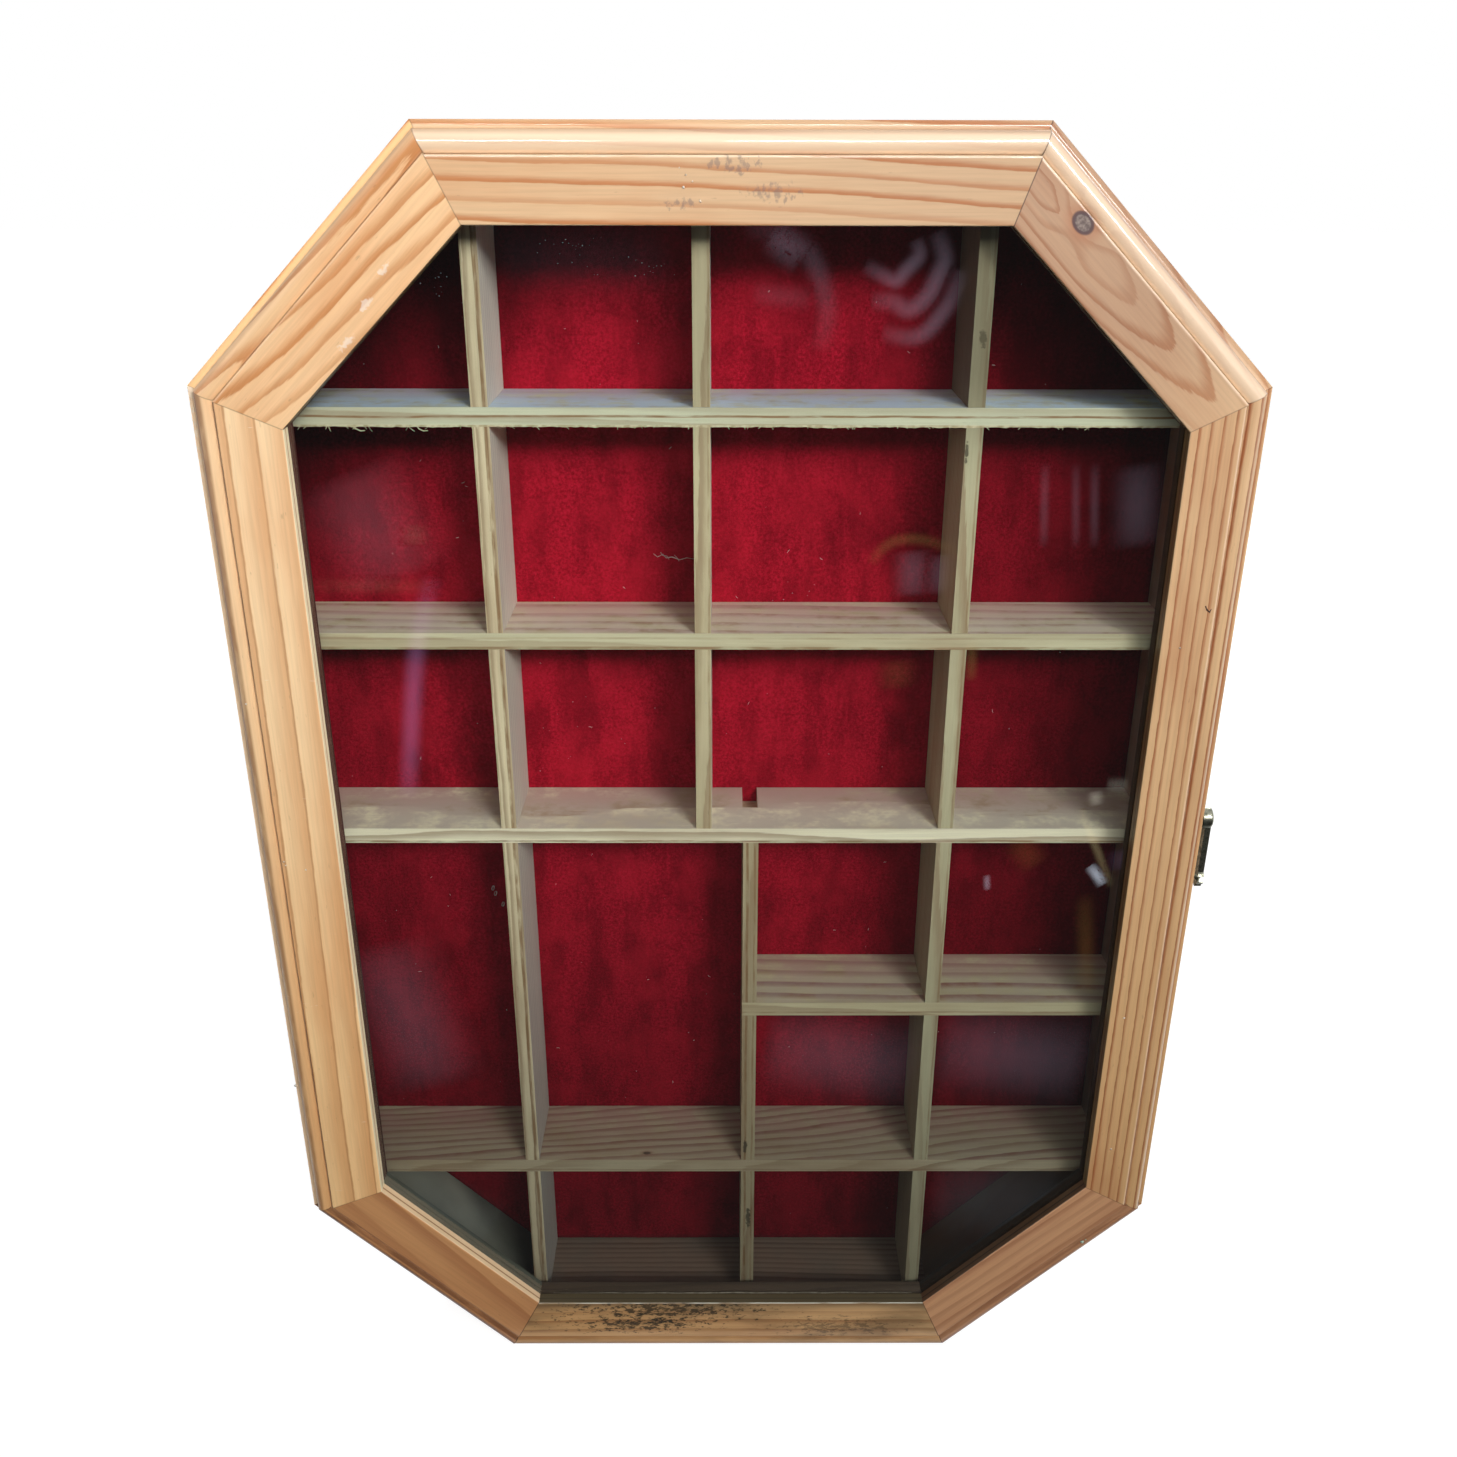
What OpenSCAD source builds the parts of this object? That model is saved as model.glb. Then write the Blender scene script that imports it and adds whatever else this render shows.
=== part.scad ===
// Wall-hung display case of pine: an octagonal box with a red felt back and an
// egg-crate grid of slotted strips, closed by a glazed door on two butt hinges.
// Frame: +Z up, +X to the right, the door faces -Y, the wall face is y = 0.
// Edges and corners of the octagon are numbered clockwise from the top edge,
// and corner i is where edge i starts.

/* [Outline] */
// Width of the door and the case
outline_w = 450; // [400:1:520]
// Height of the door and the case
outline_h = 640; // [580:1:720]
// Leg of each cut-off corner
corner_cut = 101; // [85:1:115]

/* [Door rails] */
// Thickness of the rails
door_t = 19; // [17:0.5:24]
// Width of the top, bottom and lower right rails
rail_w = 38; // [34:0.5:44]
// Width of the three rails on the hinge side
hinge_rail_w = 40; // [34:0.5:44]
// Width of the upper right rail
upper_right_rail_w = 36.5; // [34:0.5:44]
// Width of the upright rail on the latch side
latch_rail_w = 34.5; // [33:0.5:44]
// Gap between the closed door and the case
seam = 1; // [0.8:0.1:1.6]

/* [Rail moulding] */
// Width of the moulded band along the outer edge
mould_w = 12.4; // [11:0.1:13]
// Radius of the bead
bead_r = 5; // [4.2:0.1:5.4]
// Depth of the bead's crest below the flat field
bead_drop = 0.8; // [0.4:0.1:1.2]
// Width of the fillet at the outer edge
fillet_w = 1.5; // [1:0.1:2]
// Depth of the fillet below the flat field
fillet_drop = 8.5; // [7.8:0.1:9.5]
// Radius of the cove between the fillet and the bead
cove_r = 1.8; // [1:0.1:2]
// Radius on both edges of the flat field
field_r = 0.8; // [0.4:0.1:1.2]

/* [Glazing] */
// Thickness of the wood in front of the glass
lip_t = 6.5; // [5:0.1:7.5]
// Width of the glass rebate
rebate_w = 8; // [6:0.5:10]
// Thickness of the glass
glass_t = 3; // [2:0.5:4]
// Gap between the edge of the glass and the rebate
glass_clear = 0.5; // [0.2:0.1:1]
// Thickness of the glazing strips
strip_t = 6; // [4:0.5:6.5]
// Distance of the glazing strips behind the sight edge
strip_inset = 0.4; // [0.2:0.1:1.5]

/* [Case] */
// Thickness of the side boards
board_t = 21; // [19:0.5:24]
// Depth of the case from its front edge to the wall
case_d = 50; // [44:1:70]
// Thickness of the back panel
panel_t = 3.2; // [2.5:0.1:5]
// Width of the rebate that holds the back panel
panel_rebate = 8; // [5:0.5:12]
// Gap around the back panel
panel_clear = 0.5; // [0.2:0.1:1]
// Thickness of the felt
felt_t = 1.2; // [0.8:0.1:2]
// Gap around the felt
felt_clear = 0.3; // [0.2:0.1:1]

/* [Grid] */
// Thickness of the shelves
shelf_t = 7.8; // [6:0.1:9]
// Thickness of the dividers
divider_t = 7.4; // [6:0.1:9]
// Distance of the grid behind the front edge of the case
grid_setback = 0.5; // [0.3:0.1:2]
// Play of a strip in its slot, on each side
slot_clear = 0.1; // [0.05:0.05:0.3]
// Clear height of the bottom row
row_1_h = 92.2; // [80:0.1:100]
// Clear height of the second row from the bottom
row_2_h = 95.2; // [80:0.1:100]
// Clear height of the third row from the bottom
row_3_h = 93.7; // [80:0.1:100]
// Clear height of the fourth row from the bottom
row_4_h = 92.7; // [80:0.1:100]
// Clear height of the fifth row from the bottom
row_5_h = 94.2; // [80:0.1:100]
// Clear width of the left column
left_column_w = 93.4; // [91:0.1:100]
// Clear width of the right column
right_column_w = 95.4; // [91:0.1:100]
// Clear width between the left and upper dividers
upper_column_w = 87.2; // [70:0.1:120]
// Clear width between the left and lower dividers
lower_column_w = 110; // [80:0.1:130]

/* [Hinges] */
// Distance of a hinge's middle from the nearer end of the left side
hinge_inset = 71; // [30:1:120]
// Length of a hinge
hinge_h = 32; // [24:1:40]
// Width of a leaf from the pin's axis
leaf_w = 15; // [13:0.5:18]
// Thickness of a leaf
leaf_t = 1.2; // [1:0.1:1.6]
// Gap between the closed leaves
leaf_gap = 0.2; // [0.1:0.05:0.4]
// Radius of a knuckle
knuckle_r = 1.9; // [1.8:0.1:2.4]
// Radius of the hinge pin
pin_r = 0.9; // [0.7:0.1:1.1]
// Running clearance of the pin
pin_clear = 0.05; // [0.02:0.01:0.1]
// End gap between knuckles
knuckle_gap = 0.3; // [0.2:0.1:0.5]
// Distance of the pin's axis outside the case
pin_proud = 1.2; // [1:0.1:1.8]
// Free space around the knuckles and beside the leaves
hinge_clear = 0.3; // [0.3:0.1:0.6]
// Distance between the two screws of a leaf
leaf_screw_spacing = 19; // [14:0.5:24]
// Radius of a hinge screw
leaf_screw_r = 1.3; // [1:0.1:1.5]
// Radius of a hinge screw's head
leaf_head_r = 2.3; // [2:0.1:2.6]
// Length of a hinge screw below the leaf
leaf_screw_l = 9; // [6:0.5:9]

/* [Latch] */
// Height of the hook's pivot above the middle of the case
latch_z = 15.5; // [-60:0.5:60]
// Depth of the hook's pivot behind the front of the door
latch_depth = 13.4; // [12:0.1:14]
// Distance from the hook's pivot to the catch stud
latch_reach = 32.2; // [26:0.1:36]
// Radius of the hook's boss
boss_r = 5.3; // [5:0.1:6]
// Thickness of the hook's boss
boss_t = 5.1; // [4:0.1:6]
// Radius on the outer edge of the boss
boss_round = 1.5; // [0.5:0.1:1.8]
// Gap between the boss and the rail
boss_gap = 0.3; // [0.2:0.1:0.5]
// Thickness of the hook's arm
arm_t = 2.9; // [2:0.1:3.4]
// Width of the hook's arm
arm_w = 4.6; // [3.6:0.1:6]
// Radius of the hook's round end
hook_end_r = 4; // [3.6:0.1:5.4]
// Length of the finger tab past the catch stud
tab_l = 4; // [3:0.1:8]
// Radius of the finger tab
tab_r = 1.5; // [1:0.1:1.8]
// Radius of the pivot screw
pivot_r = 1.7; // [1.4:0.1:2]
// Radius of the pivot screw's head
pivot_head_r = 3.3; // [2.8:0.1:3.6]
// Radius of the catch stud
stud_r = 1.2; // [1:0.1:1.5]
// Radius of the catch stud's domed head
stud_head_r = 2.9; // [2.2:0.1:3.4]
// Thickness of the heads of the pivot screw and the catch stud
head_t = 1.7; // [1.2:0.1:2.2]
// Clearance of the notch around the catch stud
notch_clear = 0.3; // [0.2:0.1:0.8]
// Length of the pivot screw and the catch stud in the wood
latch_screw_l = 14; // [8:0.5:14]
// Running clearance of every screw in its hole
screw_clear = 0.05; // [0.02:0.01:0.1]

/* [Hidden] */
$fn = 64;

oiled_pine = "#D9A066";
bare_pine = "#D9CBA0";
hardboard = "#8A5A35";
red_felt = "#A8141E";
aged_brass = "#A98F4E";
clear_glass = [0.75, 0.85, 0.82, 0.3];

// Overlap that keeps a cut from ending on a face
cut = 1;
// Edge numbers
top = 0;
upper_right = 1;
right = 2;
lower_right = 3;
bottom = 4;
lower_left = 5;
left = 6;
upper_left = 7;
edges = 8;
edge_turn = 360 / edges;

// Widths of the rails, clockwise from the top
rail_ws = [
  rail_w, upper_right_rail_w, latch_rail_w, rail_w,
  rail_w, hinge_rail_w, hinge_rail_w, hinge_rail_w
];

// Distance of an outline edge from the middle of the octagon
function edge_dist(i) =
  i % 2 == 1 ? (outline_w / 2 + outline_h / 2 - corner_cut) / sqrt(2)
  : i % 4 == 0 ? outline_h / 2
  : outline_w / 2;
function edge_dir(i) = [sin(edge_turn * i), cos(edge_turn * i)];
function same_inset(v) = [for (i = [0 : edges - 1]) v];
function rail_inset(v) = [for (w = rail_ws) w + v];

// Corner where edge i starts, with every edge moved inwards by its inset
function corner(i, inset) =
  let (
    j = (i + edges - 1) % edges,
    a = edge_dir(j),
    b = edge_dir(i),
    p = edge_dist(j) - inset[j],
    q = edge_dist(i) - inset[i],
    det = a[0] * b[1] - a[1] * b[0]
  )
  [(p * b[1] - q * a[1]) / det, (q * a[0] - p * b[0]) / det];
function ring(inset) = [for (i = [0 : edges - 1]) corner(i, inset)];

// Depths along Y
front_y = -case_d - seam - door_t;
door_back_y = -case_d - seam;
case_front_y = -case_d;
felt_y = -panel_t - felt_t;
grid_front_y = case_front_y + grid_setback;
grid_mid_y = (grid_front_y + felt_y) / 2;
glass_y = front_y + lip_t;
strip_y = glass_y + glass_t;

// Inside of the case
inner_x = outline_w / 2 - board_t;
inner_z = outline_h / 2 - board_t;
inner_diag = (edge_dist(upper_right) - board_t) * sqrt(2);
function inner_half_w(z) = min(inner_x, inner_diag - abs(z));
function inner_half_h(x) = min(inner_z, inner_diag - abs(x));

// Top faces of the shelves, from the bottom of the case upwards
shelf_e_z = -inner_z + row_1_h + shelf_t;
shelf_d_z = shelf_e_z + row_2_h + shelf_t;
shelf_c_z = shelf_d_z + row_3_h + shelf_t;
shelf_b_z = shelf_c_z + row_4_h + shelf_t;
shelf_a_z = shelf_b_z + row_5_h + shelf_t;

// Left faces of the dividers
left_divider_x = -inner_x + left_column_w;
upper_divider_x = left_divider_x + divider_t + upper_column_w;
lower_divider_x = left_divider_x + divider_t + lower_column_w;
right_divider_x = inner_x - right_column_w - divider_t;

// Hinges, one above and one below the middle of the case
hinge_z = outline_h / 2 - corner_cut - hinge_inset;
pin_x = -outline_w / 2 - pin_proud;
pin_y = -case_d - seam / 2;
leaf_face = leaf_gap / 2;
mortise_d = leaf_face + leaf_t - seam / 2;
leaf_screw_x = (pin_proud + leaf_w + knuckle_r) / 2;
knuckle_l = hinge_h / 3;

// Latch
side_x = outline_w / 2;
latch_y = front_y + latch_depth;
boss_x = side_x + boss_gap;
boss_face_x = boss_x + boss_t;
arm_x = boss_face_x - arm_t;
stud_y = latch_y + latch_reach;
stud_head_x = boss_face_x + boss_gap;
notch_r = stud_r + notch_clear;
dome_r = (stud_head_r * stud_head_r + head_t * head_t) / (2 * head_t);

// Driver slots
pivot_slot_w = 0.8;
pivot_slot_d = 0.7;
leaf_slot_w = 0.5;
leaf_slot_d = 0.35;

// Prism from y0 to y1 over one edge of the octagon, between two insets, with
// its ends along the mitre lines of that edge
module mitred(i, outer, inner, y0, y1, spare = 0) {
  k = (i + 1) % edges;
  a = corner(i, outer);
  b = corner(k, outer);
  c = corner(k, inner);
  d = corner(i, inner);
  outline = [a + (a - d) * spare, b + (b - c) * spare, c - (b - c) * spare, d - (a - d) * spare];
  translate([0, y1, 0]) rotate([90, 0, 0]) linear_extrude(y1 - y0) polygon(outline);
}

module octagon_plate(inset, y0, y1) {
  translate([0, y1, 0]) rotate([90, 0, 0]) linear_extrude(y1 - y0) polygon(ring(inset));
}

// Rod along X from x0 to x1
module rod_x(x0, x1, r) {
  translate([x0, 0, 0]) rotate([0, 90, 0]) cylinder(h = x1 - x0, r = r);
}

// Case boards, with a rebate behind for the back panel
module case_board(i) {
  mitred(i, same_inset(0), same_inset(board_t), case_front_y, -panel_t);
  mitred(i, same_inset(0), same_inset(board_t - panel_rebate), -panel_t, 0);
}

module plain_case_board(i) {
  color(oiled_pine) union() case_board(i);
}

module case_left_board() {
  color(oiled_pine) difference() {
    union() case_board(left);
    for (side = [1, -1]) translate([pin_x, pin_y, side * hinge_z]) {
      leaf_mortise(1);
      leaf_pilots(1);
    }
  }
}

module case_right_board() {
  color(oiled_pine) difference() {
    union() case_board(right);
    translate([0, stud_y, latch_z]) rod_x(side_x - latch_screw_l, side_x + cut, stud_r + screw_clear);
  }
}

module back_panel() {
  color(hardboard)
    octagon_plate(same_inset(board_t - panel_rebate + panel_clear), -panel_t, 0);
}

module felt_lining() {
  color(red_felt) octagon_plate(same_inset(board_t + felt_clear), felt_y, -panel_t);
}

// Slot for a divider, cut into a shelf from behind
module divider_slot(x) {
  translate([x - slot_clear, grid_mid_y, -shelf_t - cut])
    cube([divider_t + 2 * slot_clear, felt_y - grid_mid_y + cut, shelf_t + 2 * cut]);
}

// Shelf with its top at z, from x0 to the right board, slotted at each x of slots
module shelf(z, x0, slots) {
  reach = min(inner_half_w(z), inner_half_w(z - shelf_t));
  start = max(x0, -reach);
  color(bare_pine) translate([0, 0, z]) difference() {
    translate([start, grid_front_y, -shelf_t])
      cube([reach - start, felt_y - grid_front_y, shelf_t]);
    for (x = slots) divider_slot(x);
  }
}

// Slot for a shelf, cut into a divider from the front
module shelf_slot(z) {
  translate([-cut, grid_front_y - cut, z - shelf_t - slot_clear])
    cube([divider_t + 2 * cut, grid_mid_y - grid_front_y + cut, shelf_t + 2 * slot_clear]);
}

// Divider with its left face at x, from z0 to z1, slotted at each z of slots
module divider(x, z0, z1, slots) {
  color(bare_pine) translate([x, 0, 0]) difference() {
    translate([0, grid_front_y, z0]) cube([divider_t, felt_y - grid_front_y, z1 - z0]);
    for (z = slots) shelf_slot(z);
  }
}

function divider_reach(x) = min(inner_half_h(x), inner_half_h(x + divider_t));

// Section of a rail: x is the depth from the front face, y the distance
// inwards from the outer edge
module rail_section(w) {
  bead_u = fillet_w + cove_r + bead_r;
  bead_v = bead_drop + bead_r;
  difference() {
    union() {
      translate([fillet_drop, 0]) square([door_t - fillet_drop, w]);
      translate([bead_v, fillet_w + cove_r])
        square([fillet_drop - bead_v + cut, mould_w - fillet_w - cove_r + cut]);
      translate([bead_v, bead_u]) circle(bead_r);
      difference() {
        translate([fillet_drop - cove_r, fillet_w]) square([cove_r + cut, cove_r + cut]);
        translate([fillet_drop - cove_r, fillet_w]) circle(cove_r);
      }
      translate([field_r, mould_w]) square([fillet_drop, w - mould_w]);
      translate([0, mould_w + field_r]) square([fillet_drop, w - mould_w - 2 * field_r]);
      translate([field_r, mould_w + field_r]) circle(field_r);
      translate([field_r, w - field_r]) circle(field_r);
    }
    translate([lip_t, w - rebate_w]) square([door_t, rebate_w + cut]);
  }
}

module rail(i) {
  intersection() {
    rotate([0, edge_turn * i, 0]) translate([0, front_y, edge_dist(i)])
      rotate([90, 0, 90]) linear_extrude(outline_h + outline_w, center = true)
        mirror([0, 1]) rail_section(rail_ws[i]);
    mitred(i, same_inset(0), rail_inset(0), front_y - cut, door_back_y + cut, 0.1);
  }
}

module plain_rail(i) {
  color(oiled_pine) rail(i);
}

module door_left_rail() {
  color(oiled_pine) difference() {
    rail(left);
    for (side = [1, -1]) translate([pin_x, pin_y, side * hinge_z]) {
      leaf_mortise(-1);
      leaf_pilots(-1);
    }
  }
}

module door_right_rail() {
  color(oiled_pine) difference() {
    rail(right);
    translate([0, latch_y, latch_z]) rod_x(side_x - latch_screw_l, side_x + cut, pivot_r + screw_clear);
  }
}

module glass_pane() {
  color(clear_glass) octagon_plate(rail_inset(glass_clear - rebate_w), glass_y, strip_y);
}

module glazing_strip(i) {
  color(bare_pine)
    mitred(i, rail_inset(-rebate_w), rail_inset(-strip_inset), strip_y, strip_y + strip_t);
}

// A hinge is drawn with its pin along Z at the origin. Side 1 is the leaf on
// the case and side -1 the leaf on the door.
module leaf_mortise(side) {
  y0 = side > 0 ? seam / 2 - cut : -seam / 2 - mortise_d;
  translate([0, y0, -hinge_h / 2 - hinge_clear])
    cube([leaf_w + hinge_clear, mortise_d + cut, hinge_h + 2 * hinge_clear]);
  translate([0, 0, -hinge_h / 2 - hinge_clear])
    cylinder(h = hinge_h + 2 * hinge_clear, r = knuckle_r + hinge_clear);
}

module at_leaf_screws(side) {
  for (end = [1, -1])
    translate([leaf_screw_x, side * leaf_face, end * leaf_screw_spacing / 2])
      rotate([-side * 90, 0, 0]) children();
}

module leaf_pilots(side) {
  at_leaf_screws(side)
    translate([0, 0, leaf_t / 2]) cylinder(h = leaf_t / 2 + leaf_screw_l, r = leaf_screw_r + screw_clear);
}

module leaf_screws(side) {
  at_leaf_screws(side) difference() {
    union() {
      cylinder(h = leaf_t - screw_clear, r1 = leaf_head_r, r2 = leaf_screw_r);
      cylinder(h = leaf_t + leaf_screw_l - screw_clear, r = leaf_screw_r);
    }
    translate([-leaf_head_r - cut, -leaf_slot_w / 2, -cut])
      cube([2 * leaf_head_r + 2 * cut, leaf_slot_w, cut + leaf_slot_d]);
  }
}

// Height range of knuckle n, counted from the lowest
function knuckle_z(n) = -hinge_h / 2 + n * knuckle_l;

module leaf(side) {
  own = side > 0 ? [0, 2] : [1];
  other = side > 0 ? [1] : [0, 2];
  plate_y = side > 0 ? leaf_face : -leaf_face - leaf_t;
  difference() {
    union() {
      difference() {
        translate([0, plate_y, -hinge_h / 2]) cube([leaf_w, leaf_t, hinge_h]);
        for (n = other) translate([0, 0, knuckle_z(n) - knuckle_gap / 2])
          cylinder(h = knuckle_l + knuckle_gap, r = knuckle_r + hinge_clear);
      }
      for (n = own) translate([0, 0, knuckle_z(n) + (n == 0 ? 0 : knuckle_gap / 2)])
        cylinder(h = knuckle_l - (n == 1 ? knuckle_gap : knuckle_gap / 2), r = knuckle_r);
    }
    translate([0, 0, -hinge_h / 2 - cut]) cylinder(h = hinge_h + 2 * cut, r = pin_r + pin_clear);
    at_leaf_screws(side) {
      translate([0, 0, -screw_clear])
        cylinder(h = leaf_t, r1 = leaf_head_r + 2 * screw_clear, r2 = leaf_screw_r + screw_clear);
      cylinder(h = leaf_t + cut, r = leaf_screw_r + screw_clear);
    }
  }
}

module hinge_leaf(side, end) {
  color(aged_brass) translate([pin_x, pin_y, end * hinge_z]) leaf(side);
}

module hinge_screws(side) {
  color(aged_brass) for (end = [1, -1]) translate([pin_x, pin_y, end * hinge_z]) leaf_screws(side);
}

module hinge_pin(end) {
  color(aged_brass) translate([pin_x, pin_y, end * hinge_z - hinge_h / 2])
    cylinder(h = hinge_h, r = pin_r);
}

// Round-headed stud on the case that the hook drops over
module catch_stud() {
  color(aged_brass) translate([0, stud_y, latch_z]) {
    rod_x(side_x - latch_screw_l, stud_head_x + head_t / 2, stud_r);
    translate([stud_head_x, 0, 0]) rotate([0, 90, 0]) intersection() {
      translate([0, 0, head_t - dome_r]) sphere(dome_r);
      cylinder(h = dome_r, r = stud_head_r + cut);
    }
  }
}

// Countersunk head of the pivot screw, grown by a clearance
module pivot_head(clear) {
  translate([boss_face_x - head_t, 0, 0]) rotate([0, 90, 0])
    cylinder(h = head_t, r1 = pivot_r + clear, r2 = pivot_head_r + clear);
}

// Screw that the hook turns on
module latch_screw() {
  color(aged_brass) translate([0, latch_y, latch_z]) difference() {
    union() {
      rod_x(side_x - latch_screw_l, boss_face_x - head_t / 2, pivot_r);
      pivot_head(0);
    }
    translate([boss_face_x - pivot_slot_d, -pivot_head_r - cut, -pivot_slot_w / 2])
      cube([pivot_slot_d + cut, 2 * pivot_head_r + 2 * cut, pivot_slot_w]);
  }
}

// Outline of the hook's arm as it hangs: x is Y, y is Z, the pivot is 0
module arm_outline() {
  difference() {
    union() {
      translate([-arm_w / 2, -latch_reach]) square([arm_w, latch_reach]);
      translate([0, -latch_reach]) circle(hook_end_r);
      translate([-tab_r, -latch_reach - tab_l]) square([2 * tab_r, tab_l]);
      translate([0, -latch_reach - tab_l]) circle(tab_r);
    }
    translate([0, -latch_reach]) circle(notch_r);
    translate([-hook_end_r - cut, -latch_reach - notch_r]) square([hook_end_r + cut, 2 * notch_r]);
  }
}

// Swing hook, stored hanging straight down from its pivot
module latch_hook() {
  color(aged_brass) translate([0, latch_y, latch_z]) difference() {
    union() {
      rod_x(boss_x, boss_face_x - boss_round, boss_r);
      rod_x(boss_x, boss_face_x, boss_r - boss_round);
      translate([boss_face_x - boss_round, 0, 0]) rotate([0, 90, 0]) rotate_extrude()
        translate([boss_r - boss_round, 0]) circle(boss_round);
      translate([arm_x, 0, 0]) rotate([90, 0, 90]) linear_extrude(arm_t) arm_outline();
    }
    rod_x(boss_x - cut, boss_face_x + cut, pivot_r + screw_clear);
    pivot_head(2 * screw_clear);
  }
}

plain_case_board(top);  // case_top_board
plain_case_board(upper_right);  // case_upper_right_board
case_right_board();
plain_case_board(lower_right);  // case_lower_right_board
plain_case_board(bottom);  // case_bottom_board
plain_case_board(lower_left);  // case_lower_left_board
case_left_board();
plain_case_board(upper_left);  // case_upper_left_board
back_panel();
felt_lining();
shelf(shelf_a_z, -inner_x, [left_divider_x, upper_divider_x, right_divider_x]);  // shelf_a
shelf(shelf_b_z, -inner_x, [left_divider_x, upper_divider_x, right_divider_x]);  // shelf_b
shelf(shelf_c_z, -inner_x, [left_divider_x, lower_divider_x, right_divider_x]);  // shelf_c
shelf(shelf_d_z, lower_divider_x, [lower_divider_x, right_divider_x]);  // shelf_d
shelf(shelf_e_z, -inner_x, [left_divider_x, lower_divider_x, right_divider_x]);  // shelf_e
divider(left_divider_x, -divider_reach(left_divider_x), divider_reach(left_divider_x),  // divider_left
    [shelf_a_z, shelf_b_z, shelf_c_z, shelf_e_z]);
divider(upper_divider_x, shelf_c_z, divider_reach(upper_divider_x), [shelf_a_z, shelf_b_z]);  // divider_upper
divider(lower_divider_x, -divider_reach(lower_divider_x), shelf_c_z - shelf_t, [shelf_d_z, shelf_e_z]);  // divider_lower
divider(right_divider_x, -divider_reach(right_divider_x), divider_reach(right_divider_x),  // divider_right
    [shelf_a_z, shelf_b_z, shelf_c_z, shelf_d_z, shelf_e_z]);
hinge_leaf(1, 1);  // hinge_upper_case_leaf
hinge_leaf(1, -1);  // hinge_lower_case_leaf
hinge_pin(1);  // hinge_upper_pin
hinge_pin(-1);  // hinge_lower_pin
hinge_screws(1);  // hinge_case_screws
catch_stud();
plain_rail(top);  // door_top_rail
plain_rail(upper_right);  // door_upper_right_rail
door_right_rail();
plain_rail(lower_right);  // door_lower_right_rail
plain_rail(bottom);  // door_bottom_rail
plain_rail(lower_left);  // door_lower_left_rail
door_left_rail();
plain_rail(upper_left);  // door_upper_left_rail
glass_pane();
glazing_strip(top);  // strip_top
glazing_strip(upper_right);  // strip_upper_right
glazing_strip(right);  // strip_right
glazing_strip(lower_right);  // strip_lower_right
glazing_strip(bottom);  // strip_bottom
glazing_strip(lower_left);  // strip_lower_left
glazing_strip(left);  // strip_left
glazing_strip(upper_left);  // strip_upper_left
hinge_leaf(-1, 1);  // hinge_upper_door_leaf
hinge_leaf(-1, -1);  // hinge_lower_door_leaf
hinge_screws(-1);  // hinge_door_screws
latch_screw();
latch_hook();
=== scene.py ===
"""Looks, light and camera for the octagonal display case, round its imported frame. Metres, +Z up, front towards -Y."""

import math
import random

import bpy
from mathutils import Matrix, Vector, noise


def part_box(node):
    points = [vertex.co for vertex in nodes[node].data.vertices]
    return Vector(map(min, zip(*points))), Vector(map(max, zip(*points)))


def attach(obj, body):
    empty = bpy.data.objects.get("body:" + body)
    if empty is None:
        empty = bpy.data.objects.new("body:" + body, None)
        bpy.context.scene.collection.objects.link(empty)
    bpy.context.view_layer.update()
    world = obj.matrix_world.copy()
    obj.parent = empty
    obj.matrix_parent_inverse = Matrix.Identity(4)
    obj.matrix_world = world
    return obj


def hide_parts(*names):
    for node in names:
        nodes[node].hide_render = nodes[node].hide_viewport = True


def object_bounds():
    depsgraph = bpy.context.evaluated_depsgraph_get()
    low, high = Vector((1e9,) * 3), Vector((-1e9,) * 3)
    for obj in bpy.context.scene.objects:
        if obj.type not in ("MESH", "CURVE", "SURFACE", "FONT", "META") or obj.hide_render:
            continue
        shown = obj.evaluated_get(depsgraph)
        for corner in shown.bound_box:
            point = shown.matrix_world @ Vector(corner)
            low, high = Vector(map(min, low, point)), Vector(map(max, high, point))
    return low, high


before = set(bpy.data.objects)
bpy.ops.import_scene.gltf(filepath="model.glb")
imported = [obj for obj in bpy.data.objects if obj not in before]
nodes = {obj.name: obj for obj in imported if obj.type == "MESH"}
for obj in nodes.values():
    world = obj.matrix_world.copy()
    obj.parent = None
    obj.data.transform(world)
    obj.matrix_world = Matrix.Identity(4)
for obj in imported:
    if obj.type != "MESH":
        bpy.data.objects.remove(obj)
cad_box = [list(corner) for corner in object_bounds()]
MM = 0.001

# Seeds of the grain, one for each piece counted on from these.
RAIL_SEED, BOARD_SEED, STRIP_SEED, SHELF_SEED, DIVIDER_SEED = 1, 11, 21, 31, 41

# The eight edges, clockwise from the top, with the distance of each outer face from the centre. OUTER and SIGHT are
# the door's outer and inner corners (x, z), each where its edge starts. All in mm.
EDGES = ("top", "upper_right", "right", "lower_right", "bottom", "lower_left", "left", "upper_left")
EDGE_DIST = (320, 313.955, 225, 313.955, 320, 313.955, 225, 313.955)
OUTER = ((-124, 320), (124, 320), (225, 219), (225, -219), (124, -320), (-124, -320), (-225, -219), (-225, 219))
SIGHT = ((-105.4, 282), (110.4, 282), (190.5, 201.9), (190.5, -199.8), (108.3, -282), (-105.4, -282),
         (-185, -202.4), (-185, 202.4))

# The moulding on a door rail: distances from the rail's outer face, and the depth of the door's front, in metres.
RIM, FILLET, COVE, CREST, GROOVE = 0.0014, 0.0022, 0.0054, 0.0085, 0.0124
DOOR_FRONT = -0.070


def rgb(red, green, blue):
    """An sRGB colour of 0 to 255 as the linear colour that a socket takes."""
    parts = [c / 255 for c in (red, green, blue)]
    return tuple(c / 12.92 if c <= 0.04045 else ((c + 0.055) / 1.055) ** 2.4 for c in parts) + (1.0,)


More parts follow.
